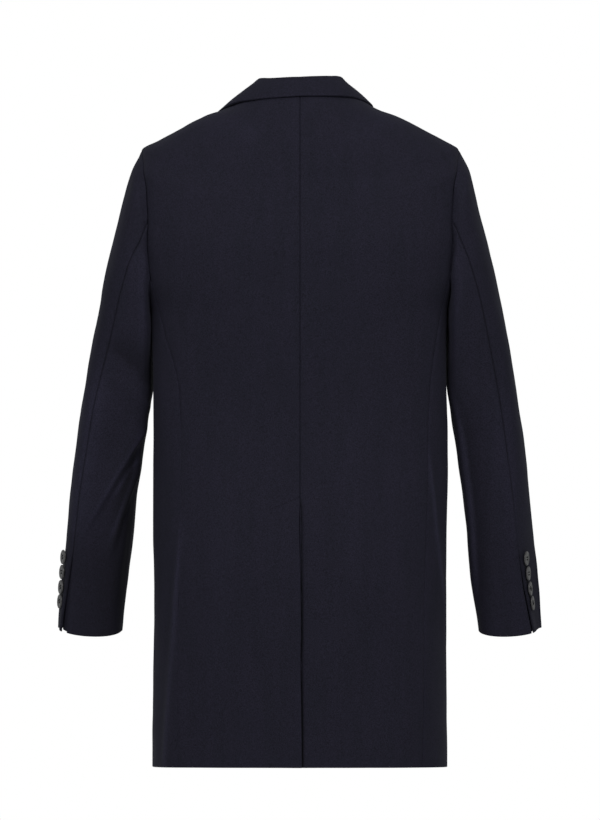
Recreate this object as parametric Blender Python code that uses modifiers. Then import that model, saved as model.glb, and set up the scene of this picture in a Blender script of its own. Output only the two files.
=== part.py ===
"""A single-breasted wool coat, hollow as when it is worn.

Metres, +Z up. The wearer faces +Y, so the back of the coat is towards -Y and the wearer's right is +X.
The origin is the middle of the neck, at the height where the wearer's shoulders carry the coat.
A place on the body cloth is a level (the height of the coat's side there) and a girth, which is the
distance round the coat from the centre back. A place on a sleeve is a row and a column of its rings.
"""

import functools
import math
from collections import namedtuple

import bmesh
import bpy
import numpy as np
from mathutils import Matrix, Vector

# Cloth and seams
CLOTH = 0.0024
COLLAR_CLOTH = 0.0020
SEAM_GAP = 0.0003
LAYER_GAP = 0.0006

# Levels of the body
HEM = -0.908
VENT_TOP = -0.538
SEAM_TOP = -0.235
UNDERARM = -0.285
SHOULDER = -0.063
NECK = 0.012
BODY_LEVELS = (HEM, -0.84, -0.77, -0.70, -0.64, -0.585, VENT_TOP, -0.49, -0.445, -0.40, -0.355, -0.32,
               -0.29, -0.262, SEAM_TOP, -0.205, -0.158, -0.13, -0.107, -0.085, SHOULDER,
               -0.052, -0.038, -0.023, -0.011, 0.001, NECK)

# Body outline: one row for each level, with the depths measured from the widest line
Section = namedtuple("Section", "side_z back_z front_z half_width back_depth front_depth widest_y squareness")
SECTIONS = (
    Section(HEM, HEM, HEM, 0.2007, 0.124, 0.132, -0.012, 2.5),
    Section(-0.660, -0.660, -0.660, 0.2007, 0.128, 0.130, -0.014, 2.5),
    Section(-0.400, -0.400, -0.400, 0.2007, 0.086, 0.144, -0.030, 2.55),
    Section(UNDERARM, -0.288, -0.290, 0.2026, 0.096, 0.152, -0.026, 2.8),
    Section(SEAM_TOP, -0.243, -0.250, 0.2150, 0.103, 0.144, -0.020, 3.6),
    Section(-0.170, -0.190, -0.205, 0.2220, 0.112, 0.132, -0.012, 4.0),
    Section(-0.095, -0.132, -0.160, 0.2210, 0.107, 0.118, -0.008, 3.6),
    Section(SHOULDER, -0.104, -0.138, 0.2165, 0.104, 0.110, -0.006, 2.5),
    Section(-0.0500, -0.083, -0.126, 0.1935, 0.1025, 0.105, -0.005, 2.4),
    Section(-0.0384, -0.062, -0.114, 0.1716, 0.100, 0.100, -0.004, 2.3),
    Section(-0.0170, -0.026, -0.096, 0.1300, 0.092, 0.092, -0.003, 2.2),
    Section(-0.010, -0.008, -0.090, 0.1090, 0.0865, 0.088, -0.002, 2.15),
    Section(NECK, 0.0165, -0.072, 0.0735, 0.0725, 0.078, 0.0, 2.1),
)

# Armhole edges, seen from the side, and the seams between back, side and front, by their distance from the middle
Armhole = namedtuple("Armhole", "level back_y front_y")
ARMHOLE = (
    Armhole(SEAM_TOP, -0.082, 0.067),
    Armhole(-0.170, -0.089, 0.079),
    Armhole(-0.110, -0.076, 0.066),
    Armhole(-0.080, -0.049, 0.039),
    Armhole(SHOULDER, -0.006, -0.006),
)
SideSeam = namedtuple("SideSeam", "level back_left_x back_right_x front_x")
SIDE_SEAMS = (
    SideSeam(HEM, 0.166, 0.168, 0.168),
    SideSeam(-0.560, 0.162, 0.172, 0.166),
    SideSeam(-0.400, 0.1655, 0.1775, 0.170),
    SideSeam(-0.300, 0.188, 0.1905, 0.186),
)

# Front edges, roll line and lapels
OVERLAP = 0.036
OVERLAP_EASE = 0.045
ROLL_START = -0.345
GORGE_TURN = 131.0
ROLL_BOW = 1.25
LAPEL_GORGE_LEVEL = 0.004
LAPEL_TIP_LEVEL = -0.044
Lapel = namedtuple("Lapel", "share width")
LAPEL = (Lapel(0.0, 0.003), Lapel(0.25, 0.034), Lapel(0.6, 0.066), Lapel(1.0, 0.090))
LAPEL_GAP = 0.0020
LAPEL_LIFT = 0.0040

# Collar: one row for each station from centre back to its front end
Station = namedtuple("Station", "turn fold_in fold_rise edge_level")
COLLAR = (
    Station(0.0, 0.0090, 0.0198, 0.0018),
    Station(40.0, 0.0125, 0.0212, 0.0000),
    Station(54.0, 0.0125, 0.0222, -0.0012),
    Station(60.0, 0.0125, 0.0222, -0.0018),
    Station(66.0, 0.0125, 0.0208, -0.0026),
    Station(75.0, 0.0125, 0.0186, -0.0040),
    Station(95.0, 0.0120, 0.0160, -0.0085),
    Station(115.0, 0.0100, 0.0140, -0.0175),
    Station(GORGE_TURN, 0.0080, 0.0120, -0.0300),
)
FOLD_RADIUS = 0.0045
FOLD_LEAN = 0.034
EDGE_LEAN = 0.028
COLLAR_STAND_OFF = 0.0044
COLLAR_STATIONS = 26

# Back vent: the wearer's left back laps over the right
VENT_LAP = 0.042
VENT_SLANT = 0.018
VENT_LIFT = 0.0022
VENT_EASE = 0.050

# Sleeve rings below the armhole: outer and inner points seen from behind, depth and place from the side, how
# square the back is, how far the front tucks in behind the body, and how flat the right sleeve is pressed from its
# elbow seam to its outer point. The elbow seam's angle is from the outer point towards the back.
Ring = namedtuple(
    "Ring", "outer_x outer_z inner_x inner_z middle_y half_depth squareness front_tuck back_drop "
    "elbow_left elbow_right flat_right")
RINGS = (
    Ring(0.2300, -0.0880, 0.2052, -0.2890, -0.004, 0.090, 2.6, 0.004, 0.000, 88, 86, 0.0),
    Ring(0.2500, -0.1640, 0.2040, -0.3060, 0.000, 0.091, 3.2, 0.008, 0.000, 74, 75, 0.0),
    Ring(0.2680, -0.2400, 0.2030, -0.3330, 0.008, 0.086, 4.0, 0.010, 0.000, 66, 68, 0.0),
    Ring(0.2838, -0.3220, 0.2025, -0.3720, 0.016, 0.078, 4.5, 0.008, 0.000, 60, 64, 0.0),
    Ring(0.2984, -0.4050, 0.2075, -0.4250, 0.022, 0.070, 4.5, 0.003, 0.001, 51, 62, 0.0),
    Ring(0.3094, -0.4880, 0.2180, -0.4950, 0.028, 0.062, 4.2, 0.000, 0.002, 46, 61, 0.2),
    Ring(0.3190, -0.5700, 0.2265, -0.5720, 0.032, 0.056, 4.0, 0.000, 0.003, 42, 60, 0.6),
    Ring(0.3255, -0.6500, 0.2350, -0.6500, 0.039, 0.051, 3.6, 0.000, 0.005, 40, 57, 0.95),
    Ring(0.3300, -0.7180, 0.2436, -0.7220, 0.046, 0.048, 3.4, 0.000, 0.010, 39, 43, 0.95),
)
FRONT_SQUARENESS = 2.5
FRONT_SEAM_TURN = 128.0
SLEEVE_ROWS = 18
SLEEVE_SPLIT = -0.18
ELBOW_LEVEL = -0.158
CUFF_VENT_RING = 7.35
CUFF_LIFT = 0.0016
CUFF_LAP_TURN = 21.0
CUFF_LAP_TUCK = 4.0
CUFF_EASE_TURN = 30.0

# Largest folds: a ridge or trough along a line, by level and by girth from centre back (body),
# or by ring and turn from the outer point, negative towards the back (sleeve)
Fold = namedtuple("Fold", "side low_up low_across high_up high_across half_width rise")
BODY_FOLDS = (
    Fold(-1, HEM, 0.200, -0.600, 0.178, 0.013, 0.0050),
    Fold(1, -0.600, 0.222, -0.470, 0.192, 0.012, 0.0040),
    Fold(1, HEM, 0.120, -0.620, 0.110, 0.022, 0.0035),
    Fold(-1, HEM, 0.110, -0.640, 0.120, 0.024, -0.0030),
    Fold(-1, HEM, 0.340, -0.560, 0.330, 0.020, 0.0040),
    Fold(1, HEM, 0.330, -0.580, 0.345, 0.020, 0.0040),
)
SLEEVE_FOLDS = (
    Fold(-1, 6.9, -82, 5.2, -150, 11, 0.0045),
    Fold(-1, 4.4, -95, 3.6, -135, 14, -0.0045),
    Fold(1, 7.4, -150, 4.9, -160, 12, 0.0040),
    Fold(1, 6.0, 95, 5.0, 140, 14, 0.0040),
    Fold(-1, 6.0, 95, 5.0, 140, 14, 0.0040),
)

# Buttons
CUFF_BUTTON = 0.0200
CUFF_BUTTON_ROWS = (7.61, 7.87, 8.15, 8.43)
CUFF_BUTTON_INSET = {"left": 27.0, "right": 14.5}
FRONT_BUTTON = 0.0260
FRONT_BUTTON_LEVELS = (-0.370, -0.480, -0.590)
BUTTON_THICKNESS = 0.0032
BUTTON_SHANK = 0.0010
BUTTON_STEPS = 12

# Colours, linear
NAVY = (0.0155, 0.0146, 0.0235)
HORN = (0.052, 0.050, 0.053)


def column(table, name):
    """One named column of a table, as numbers."""
    return np.array([getattr(row, name) for row in table], float)


def through(knots, values, at):
    """A smooth curve through a table's values, which never swings past them."""
    steps = np.diff(knots)
    slopes = np.diff(values) / steps
    ends = np.concatenate([slopes[:1], slopes[-1:]])
    before, after = slopes[:-1], slopes[1:]
    same_way = before * after > 0
    total = np.where(same_way, before + after, 1.0)
    inner = np.where(same_way, 2 * before * after / total, 0.0)
    tangents = np.concatenate([ends[:1], inner, ends[1:]])
    i = int(np.clip(np.searchsorted(knots, at) - 1, 0, len(steps) - 1))
    t = float(np.clip((at - knots[i]) / steps[i], 0.0, 1.0))
    rise = t * t * (3 - 2 * t)
    start_pull = t * (1 - t) ** 2 * steps[i] * tangents[i]
    end_pull = t * t * (t - 1) * steps[i] * tangents[i + 1]
    return values[i] + (values[i + 1] - values[i]) * rise + start_pull + end_pull


def ease(value):
    """0 before 0, 1 after 1, and a soft step between."""
    t = min(max(value, 0.0), 1.0)
    return t * t * (3 - 2 * t)


def unit(vector):
    return vector / np.linalg.norm(vector)


# The body cloth


@functools.lru_cache(maxsize=None)
def section_sizes(level):
    knots = column(SECTIONS, "side_z")
    return Section(*(through(knots, column(SECTIONS, name), level) for name in Section._fields))


def section_point(level, turn):
    """A point of the body outline on the wearer's right. The turn is 0 at centre back and 180 at centre front."""
    size = section_sizes(level)
    sine, cosine = abs(math.sin(math.radians(turn))), math.cos(math.radians(turn))
    power = 2 / size.squareness
    end_z, depth = (size.back_z, -size.back_depth) if cosine > 0 else (size.front_z, size.front_depth)
    return np.array([
        size.half_width * sine ** power,
        size.widest_y + depth * abs(cosine) ** power,
        size.side_z + (end_z - size.side_z) * cosine ** 2,
    ])


@functools.lru_cache(maxsize=None)
def section_line(level):
    """The body outline at a level from centre back to centre front: its points and their girths."""
    points = np.array([section_point(level, turn) for turn in np.linspace(0, 180, 181)])
    lengths = np.linalg.norm(np.diff(points, axis=0), axis=1)
    return points, np.concatenate([[0.0], np.cumsum(lengths)])


def girth_at_turn(level, turn):
    return float(np.interp(turn, np.linspace(0, 180, 181), section_line(level)[1]))


def girth_at_y(level, y):
    points, girths = section_line(level)
    return float(np.interp(y, points[:, 1], girths))


def girth_at_x(level, x, half):
    points, girths = section_line(level)
    middle = len(girths) // 2
    if half == "back":
        return float(np.interp(x, points[:middle, 0], girths[:middle]))
    return float(np.interp(-x, -points[middle:, 0], girths[middle:]))


def body_point(level, girth, side):
    """A point of the smooth body form. A girth past either middle line goes on round the other side."""
    points, girths = section_line(level)
    whole = girths[-1]
    crossed = girth < 0 or girth > whole
    along = -girth if girth < 0 else min(girth, 2 * whole - girth)
    x, y, z = (np.interp(along, girths, points[:, axis]) for axis in range(3))
    return np.array([-side * x if crossed else side * x, y, z])


def body_normal(level, girth, side):
    step = 0.004
    low, high = max(level - step, HEM), min(level + step, NECK)
    round_it = body_point(level, girth + step, side) - body_point(level, girth - step, side)
    upwards = body_point(high, girth, side) - body_point(low, girth, side)
    return unit(np.cross(round_it, upwards) * side)


def fold_height(folds, side, up, across, up_scale):
    """How far the cloth stands out at a place, from the folds on that side."""
    height = 0.0
    for fold in folds:
        if fold.side != side:
            continue
        start = np.array([fold.low_across, fold.low_up * up_scale])
        run = np.array([fold.high_across, fold.high_up * up_scale]) - start
        place = np.array([across, up * up_scale]) - start
        along = float(place @ run / (run @ run))
        aside = abs(float(run[0] * place[1] - run[1] * place[0])) / np.linalg.norm(run)
        fade = ease((along + 0.25) / 0.3) * ease((1.15 - along) / 0.5)
        height += fold.rise * fade * math.exp(-((aside / fold.half_width) ** 2))
    return height


def body_wall(level, girth, side, out=0.0, wall=CLOTH):
    """The outer and inner points of the body cloth at a place, moved out from the body form."""
    normal = body_normal(level, girth, side)
    rise = fold_height(BODY_FOLDS, side, level, girth, 1.0)
    outer = body_point(level, girth, side) + normal * (out + rise)
    return outer, outer - normal * wall


def side_edge(level, half, side):
    """The girth where the back or front ends: at its side seam, then the armhole, then the shoulder seam."""
    if level >= SHOULDER:
        return girth_at_turn(level, 90)
    if level >= SEAM_TOP:
        y = through(column(ARMHOLE, "level"), column(ARMHOLE, half + "_y"), level)
        return girth_at_y(level, y)
    top_x = body_point(SEAM_TOP, side_edge(SEAM_TOP, half, side), 1)[0]
    name = "front_x" if half == "front" else "back_right_x" if side > 0 else "back_left_x"
    levels = np.append(column(SIDE_SEAMS, "level"), SEAM_TOP)
    xs = np.append(column(SIDE_SEAMS, name), top_x)
    return girth_at_x(level, through(levels, xs, level), half)


def front_edge(level):
    """The girth of a front's free edge: past the middle below the roll line, then along it to the neck."""
    whole = section_line(level)[1][-1]
    gorge_open = section_line(NECK)[1][-1] - girth_at_turn(NECK, GORGE_TURN)
    share = max(0.0, (level - ROLL_START) / (NECK - ROLL_START))
    return whole + OVERLAP - share ** ROLL_BOW * (OVERLAP + gorge_open)


def lapel_start(side):
    """The level where a lapel begins: the right one comes out from under the left front where their edges cross."""
    if side < 0:
        return ROLL_START
    levels = np.linspace(ROLL_START, SHOULDER, 100)
    past = [front_edge(level) - section_line(level)[1][-1] for level in levels]
    return float(np.interp(LAPEL[0].width, -np.array(past), levels))


def overlap_lift(level, girth, side):
    """The wearer's left front lies on the right one, so it stands out from it near the middle."""
    if side > 0:
        return 0.0
    past = girth - (section_line(level)[1][-1] - OVERLAP - OVERLAP_EASE)
    return (CLOTH + LAYER_GAP) * ease(past / OVERLAP_EASE)


def vent_lift(level, girth, side):
    """Below the vent's top the left back's edge stands out over the right one."""
    if side > 0:
        return 0.0
    return VENT_LIFT * ease((VENT_TOP - level) / 0.10) * ease(1 - girth / VENT_EASE)


# Making walls of cloth


def cloth_material(name, colour, roughness):
    material = bpy.data.materials.new(name)
    material.use_nodes = True
    shader = material.node_tree.nodes["Principled BSDF"]
    shader.inputs["Base Color"].default_value = (*colour, 1.0)
    shader.inputs["Roughness"].default_value = roughness
    shader.inputs["Metallic"].default_value = 0.0
    return material


def link(name, mesh, material):
    mesh.materials.append(material)
    mesh.shade_smooth()
    mesh.set_sharp_from_angle(angle=math.radians(40))
    made = bpy.data.objects.new(name, mesh)
    bpy.data.collections["coat"].objects.link(made)
    return made


def cloth_piece(name, columns, rows, place, material):
    """A closed wall: a flat grid extruded once, its two faces put where place(column, row) says."""
    bm = bmesh.new()
    bmesh.ops.create_grid(bm, x_segments=columns, y_segments=rows, size=0.5)
    bmesh.ops.extrude_face_region(bm, geom=bm.faces[:] + bm.edges[:])
    outer_face = len(bm.verts) // 2
    bm.verts.ensure_lookup_table()
    for number, vert in enumerate(bm.verts):
        across, up = round((vert.co.x + 0.5) * columns), round((vert.co.y + 0.5) * rows)
        vert.co = Vector(place(across, up)[0 if number < outer_face else 1])
    bmesh.ops.recalc_face_normals(bm, faces=bm.faces[:])
    bmesh.ops.triangulate(bm, faces=bm.faces[:], quad_method="SHORT_EDGE")
    mesh = bpy.data.meshes.new(name)
    bm.to_mesh(mesh)
    bm.free()
    return link(name, mesh, material)


# Body panels


def make_back(name, side, material, columns=9):
    def place(across, up):
        level = BODY_LEVELS[up]
        end = side_edge(level, "back", side) - SEAM_GAP / 2
        girth = SEAM_GAP / 2 + (end - SEAM_GAP / 2) * across / columns
        return body_wall(level, girth, side, vent_lift(level, girth, side))

    cloth_piece(name, columns, len(BODY_LEVELS) - 1, place, material)


def make_vent_lap(name, material, columns=3, rows=6):
    """The right back's extension, which lies under the left back below the vent's slanting top."""
    def place(across, up):
        girth = SEAM_GAP + VENT_LAP * across / columns
        top = VENT_TOP - VENT_SLANT * across / columns
        level = HEM + (top - HEM) * up / rows
        return body_wall(level, girth, -1, -CLOTH - LAYER_GAP)

    cloth_piece(name, columns, rows, place, material)


def make_front(name, side, material, columns=10):
    def place(across, up):
        level = BODY_LEVELS[up]
        start = side_edge(level, "front", side) + SEAM_GAP / 2
        girth = start + (front_edge(level) - start) * across / columns
        return body_wall(level, girth, side, overlap_lift(level, girth, side))

    cloth_piece(name, columns, len(BODY_LEVELS) - 1, place, material)


SIDE_COLUMNS = 6
SIDE_ROWS = BODY_LEVELS.index(SEAM_TOP)


def side_place(share, row, side):
    """Level and girth on a side panel. Its rows sag towards the underarm, so that the top row is the armhole."""
    top = SEAM_TOP - (SEAM_TOP - UNDERARM) * math.sin(math.pi * share) ** 0.75
    edge_level = BODY_LEVELS[row]
    level = HEM + (edge_level - HEM) * (top - HEM) / (SEAM_TOP - HEM)
    start, end = side_edge(level, "back", side), side_edge(level, "front", side)
    return level, start + (end - start) * share


def make_side(name, side, material):
    def place(across, up):
        level, girth = side_place(across / SIDE_COLUMNS, up, side)
        inwards = 1 - 2 * across / SIDE_COLUMNS
        return body_wall(level, girth + inwards * SEAM_GAP / 2, side)

    cloth_piece(name, SIDE_COLUMNS, SIDE_ROWS, place, material)


def make_lapel(name, side, material, columns=5, rows=12):
    start = lapel_start(side)

    def place(across, up):
        share = up / rows
        top = LAPEL_GORGE_LEVEL + (LAPEL_TIP_LEVEL - LAPEL_GORGE_LEVEL) * across / columns
        level = start + (top - start) * share
        width = through(column(LAPEL, "share"), column(LAPEL, "width"), share)
        girth = front_edge(level) - SEAM_GAP - width * across / columns
        roll = LAPEL_LIFT * math.sin(math.pi * min(1.0, 0.25 + 0.75 * across / columns)) * share
        out = overlap_lift(level, girth, side) + CLOTH + LAPEL_GAP + roll
        return body_wall(level, girth, side, out)

    cloth_piece(name, columns, rows, place, material)


# Collar


def collar_section(turn, side):
    """Foot, fold and edge of the collar at one station, as a line of points from neckline to outer edge."""
    turns = column(COLLAR, "turn")
    fold_in, fold_rise, edge_level = (
        through(turns, column(COLLAR, name), turn) for name in ("fold_in", "fold_rise", "edge_level")
    )
    mirror = np.array([side, 1.0, 1.0])
    foot = section_point(NECK, turn) * mirror + np.array([0, 0, LAYER_GAP])
    along = unit(section_point(NECK, turn + 1) * mirror - section_point(NECK, turn - 1) * mirror)
    along = np.array([side, 0.0, 0.0]) if turn < 1 else along
    upwards = np.array([0.0, 0.0, 1.0])
    upwards = unit(upwards - along * (along @ upwards))
    outwards = np.cross(along, upwards) * side
    behind = max(0.0, math.cos(math.radians(turn)))
    fold = foot - outwards * fold_in + upwards * (fold_rise + FOLD_LEAN * foot[0] * behind)
    edge_level += EDGE_LEAN * foot[0]
    girth = girth_at_turn(edge_level, turn)
    edge = body_point(edge_level, girth, side) + body_normal(edge_level, girth, side) * COLLAR_STAND_OFF

    def on_fold(angle):
        swing = math.radians(angle)
        middle = fold - upwards * FOLD_RADIUS
        return middle + FOLD_RADIUS * (outwards * math.sin(swing) + upwards * math.cos(swing))

    inner, outer = on_fold(-80), on_fold(60)
    line = [foot, foot + (inner - foot) * 0.5, inner, on_fold(-40), on_fold(0), on_fold(30), outer]
    for share in (0.33, 0.67, 1.0):
        line.append(outer + (edge - outer) * share)
    return np.array(line)


def make_collar(name, material):
    last_turn = COLLAR[-1].turn
    spread = np.linspace(-last_turn, last_turn, COLLAR_STATIONS + 1)
    sections = np.array([collar_section(abs(turn), 1 if turn >= 0 else -1) for turn in spread])
    along = np.gradient(sections, axis=0)
    across = np.gradient(sections, axis=1)
    normals = np.cross(across, along)
    normals /= np.linalg.norm(normals, axis=2, keepdims=True)

    def place(station, step):
        outer = sections[station, step]
        return outer, outer - normals[station, step] * COLLAR_CLOTH

    cloth_piece(name, COLLAR_STATIONS, sections.shape[1] - 1, place, material)


# Sleeves


Loop = namedtuple("Loop", "points normals marks")


def armhole_loop(side):
    """The sleeve's top edge: down the back of the armhole from the shoulder, under the arm and up the front.

    Gives its points just inside the body's edges, the body's normals there, and the columns where the
    elbow seam, the underarm and the front seam meet it.
    """
    edge_levels = [level for level in reversed(BODY_LEVELS) if SEAM_TOP < level <= SHOULDER]
    places = [(SHOULDER - SEAM_GAP, girth_at_turn(SHOULDER, 90))]
    places += [(level, side_edge(level, "back", side) + SEAM_GAP) for level in edge_levels[1:]]
    elbow, underarm = edge_levels.index(ELBOW_LEVEL), len(places) + SIDE_COLUMNS // 2
    for across in range(SIDE_COLUMNS + 1):
        level, girth = side_place(across / SIDE_COLUMNS, SIDE_ROWS, side)
        inwards = 1 - 2 * across / SIDE_COLUMNS
        places.append((level + SEAM_GAP, girth + inwards * SEAM_GAP))
    front_seam = len(places)
    places += [(level, side_edge(level, "front", side) - SEAM_GAP) for level in reversed(edge_levels[1:])]
    points, normals, marks = [], [], {}
    for number, (level, girth) in enumerate(places):
        marks[number] = len(points)
        points.append(body_point(level, girth, side))
        normals.append(body_normal(level, girth, side))
        next_level, next_girth = places[(number + 1) % len(places)]
        if min(level, next_level) > SLEEVE_SPLIT:
            points.append((points[-1] + body_point(next_level, next_girth, side)) / 2)
            normals.append(unit(normals[-1] + body_normal(next_level, next_girth, side)))
    return Loop(np.array(points), np.array(normals), (marks[elbow], marks[underarm], marks[front_seam]))


def ring_turns(count, elbow, underarm, front_seam, elbow_turn):
    """The turn of each sleeve column on one ring: 0 at the outer point, negative behind, 180 at the inner point."""
    marks = [0, elbow, underarm, front_seam, count]
    turns = [0.0, -elbow_turn, -180.0, FRONT_SEAM_TURN - 360.0, -360.0]
    return np.interp(np.arange(count), marks, turns)


def oval_point(ring, turn, side):
    """A point of a sleeve ring, a squared oval from its outer to its inner point."""
    cosine, sine = math.cos(math.radians(turn)), math.sin(math.radians(turn))
    power = FRONT_SQUARENESS if sine > 0 else ring.squareness
    deep = max(0.0, 1 - abs(cosine) ** power) ** (1 / power)
    outer = np.array([ring.outer_x, 0.0, ring.outer_z])
    inner = np.array([ring.inner_x, 0.0, ring.inner_z])
    point = (outer + inner) / 2 + (outer - inner) / 2 * cosine
    point[0] -= ring.front_tuck * 2 * max(0.0, sine) * max(0.0, -cosine)
    point[1] = ring.middle_y + ring.half_depth * math.copysign(deep, sine)
    point[2] -= ring.back_drop * max(0.0, -sine)
    return point * np.array([side, 1.0, 1.0])


def ring_point(ring, turn, elbow_turn, side):
    """A point of a sleeve ring, with the right sleeve's flat press near the cuff."""
    point = oval_point(ring, turn, side)
    share = -turn / elbow_turn
    if side > 0 and 0 < share < 1:
        flat = oval_point(ring, 0.0, side) * (1 - share) + oval_point(ring, -elbow_turn, side) * share
        point += (flat - point) * ring.flat_right
    return point


Sleeve = namedtuple("Sleeve", "points normals rims rows turns elbow front_seam")


def rim_directions(loop, sleeve_normals, side):
    """Which way the cloth's thickness goes at the armhole: into the sleeve, and never under the body's edge."""
    run = np.roll(loop.points, -1, axis=0) - np.roll(loop.points, 1, axis=0)
    into_hole = np.cross(loop.normals, run) * side
    into_hole /= np.linalg.norm(into_hole, axis=1, keepdims=True)
    inwards = -sleeve_normals
    under = np.minimum(0.0, np.sum(inwards * into_hole, axis=1, keepdims=True))
    return inwards - under * into_hole


def sleeve_form(side):
    """The whole sleeve as rows of points from armhole to cuff, with normals and each point's turn."""
    loop = armhole_loop(side)
    elbow, underarm, front_seam = loop.marks
    count = len(loop.points)
    elbow_turns = column(RINGS, "elbow_right" if side > 0 else "elbow_left")
    ring_rows = [ring_turns(count, elbow, underarm, front_seam, turn) for turn in elbow_turns]
    rings = [loop.points] + [
        np.array([ring_point(ring, turn, elbow_turn, side) for turn in turns])
        for ring, turns, elbow_turn in zip(RINGS, ring_rows, elbow_turns)
    ]
    ring_rows = [ring_rows[0]] + ring_rows
    knots = np.arange(len(rings), dtype=float)
    rows = np.concatenate([[0.0, 0.5], np.linspace(1.0, knots[-1], SLEEVE_ROWS - 1)])
    points = np.zeros((len(rows), count, 3))
    turns = np.zeros((len(rows), count))
    for j in range(count):
        for axis in range(3):
            values = np.array([ring[j][axis] for ring in rings])
            points[:, j, axis] = [through(knots, values, row) for row in rows]
        values = np.array([ring_row[j] for ring_row in ring_rows])
        turns[:, j] = [through(knots, values, row) for row in rows]
    down = np.gradient(points, axis=0)
    round_it = np.roll(points, -1, axis=1) - np.roll(points, 1, axis=1)
    normals = np.cross(round_it, down) * side
    normals /= np.linalg.norm(normals, axis=2, keepdims=True)
    for i, row in enumerate(rows):
        for j in range(count):
            turn = (turns[i, j] + 180) % 360 - 180
            rise = fold_height(SLEEVE_FOLDS, side, row, turn, 22.0)
            points[i, j] += normals[i, j] * rise * ease(row - 1)
    return Sleeve(points, normals, rim_directions(loop, normals[0], side), rows, turns, elbow, front_seam)


def cuff_lift(sleeve, i, j):
    """Below the cuff vent's top the upper sleeve's edge stands out over the under sleeve."""
    from_edge = sleeve.turns[i, j] - sleeve.turns[i, sleeve.elbow]
    return CUFF_LIFT * ease((sleeve.rows[i] - CUFF_VENT_RING) / 0.8) * ease(1 - from_edge / CUFF_EASE_TURN)


def sleeve_wall(sleeve, i, j, out=0.0):
    """Outer and inner points of a sleeve's cloth. At the armhole the rim follows the body's own rim."""
    outer = sleeve.points[i, j] + sleeve.normals[i, j] * out
    inwards = sleeve.rims[j] if i == 0 else -sleeve.normals[i, j]
    return outer, outer + inwards * CLOTH


def make_sleeve_panel(name, sleeve, first, last, upper, material):
    """The columns of a sleeve from first to last, which may run on past the shoulder, less half a seam gap."""
    count = sleeve.points.shape[1]

    def place(across, up):
        i, j = up, (first + across) % count
        outer, inner = sleeve_wall(sleeve, i, j, cuff_lift(sleeve, i, j) if upper else 0.0)
        if across in (0, last - first):
            towards = sleeve.points[i, (j + (1 if across == 0 else -1)) % count] - sleeve.points[i, j]
            outer, inner = (point + unit(towards) * SEAM_GAP / 2 for point in (outer, inner))
        return outer, inner

    cloth_piece(name, last - first, len(sleeve.rows) - 1, place, material)


def sleeve_place(sleeve, row, turn_from_elbow):
    """Point and normal of a sleeve at a row and at a turn from its elbow seam towards the outer side."""
    count = sleeve.points.shape[1]
    i = int(np.clip(np.searchsorted(sleeve.rows, row) - 1, 0, len(sleeve.rows) - 2))
    share = (row - sleeve.rows[i]) / (sleeve.rows[i + 1] - sleeve.rows[i])
    found = []
    for grid in (sleeve.points, sleeve.normals):
        ends = []
        for k in (i, i + 1):
            turns = sleeve.turns[k]
            order = [(sleeve.elbow - step) % count for step in range(sleeve.elbow + 5)]
            from_elbow = [(turns[j] - turns[sleeve.elbow]) % 360 for j in order]
            lifted = [grid[k, j] for j in order]
            ends.append([np.interp(turn_from_elbow, from_elbow, [p[a] for p in lifted]) for a in range(3)])
        found.append(np.array(ends[0]) * (1 - share) + np.array(ends[1]) * share)
    return found[0], unit(found[1])


def make_cuff_lap(name, sleeve, material, columns=2, rows=3):
    """The under sleeve's extension below the upper sleeve's vent edge."""
    def place(across, up):
        row = sleeve.rows[-1] + (CUFF_VENT_RING - sleeve.rows[-1]) * up / rows
        turn = CUFF_LAP_TUCK + (CUFF_LAP_TURN - CUFF_LAP_TUCK) * across / columns
        point, normal = sleeve_place(sleeve, row, turn)
        outer = point - normal * (CLOTH + LAYER_GAP)
        return outer, outer - normal * CLOTH

    cloth_piece(name, columns, rows, place, material)


# Buttons


def button_mesh(name, diameter):
    """A turned button with a raised rim round a dished middle."""
    radius = diameter / 2
    profile = (
        (0.0, 0.55), (0.55 * radius, 0.55), (0.72 * radius, 0.95), (0.86 * radius, 1.0),
        (radius, 0.72), (0.97 * radius, 0.35), (0.6 * radius, 0.0), (0.0, 0.0),
    )
    outline = bpy.data.meshes.new(name + "_outline")
    points = [(r, 0.0, share * BUTTON_THICKNESS) for r, share in profile]
    outline.from_pydata(points, [(i, i + 1) for i in range(len(points) - 1)], [])
    turned = bpy.data.objects.new(name + "_outline", outline)
    bpy.data.collections["coat"].objects.link(turned)
    screw = turned.modifiers.new("turn", "SCREW")
    screw.steps = screw.render_steps = BUTTON_STEPS
    screw.use_merge_vertices = True
    screw.merge_threshold = 0.00005
    graph = bpy.context.evaluated_depsgraph_get()
    mesh = bpy.data.meshes.new_from_object(turned.evaluated_get(graph))
    bpy.data.objects.remove(turned)
    mesh.name = name
    return mesh


def place_button(name, diameter, point, normal, material):
    """Sets a button on the cloth with its back to it."""
    mesh = button_mesh(name, diameter)
    made = link(name, mesh, material)
    seat = Vector(point + normal * BUTTON_SHANK)
    made.matrix_world = Matrix.Translation(seat) @ Vector(normal).to_track_quat("Z", "Y").to_matrix().to_4x4()


def make_front_buttons(material):
    for number, level in enumerate(FRONT_BUTTON_LEVELS, 1):
        middle = section_line(level)[1][-1]
        outer, inner = body_wall(level, middle, -1, overlap_lift(level, middle, -1))
        place_button(f"front_button_{number}", FRONT_BUTTON, outer, unit(outer - inner), material)


def make_cuff_buttons(sleeve, hand, material):
    for number, row in enumerate(CUFF_BUTTON_ROWS, 1):
        point, normal = sleeve_place(sleeve, row, CUFF_BUTTON_INSET[hand])
        seat = point + normal * CUFF_LIFT
        place_button(f"cuff_button_{hand}_{number}", CUFF_BUTTON, seat, normal, material)


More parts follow.
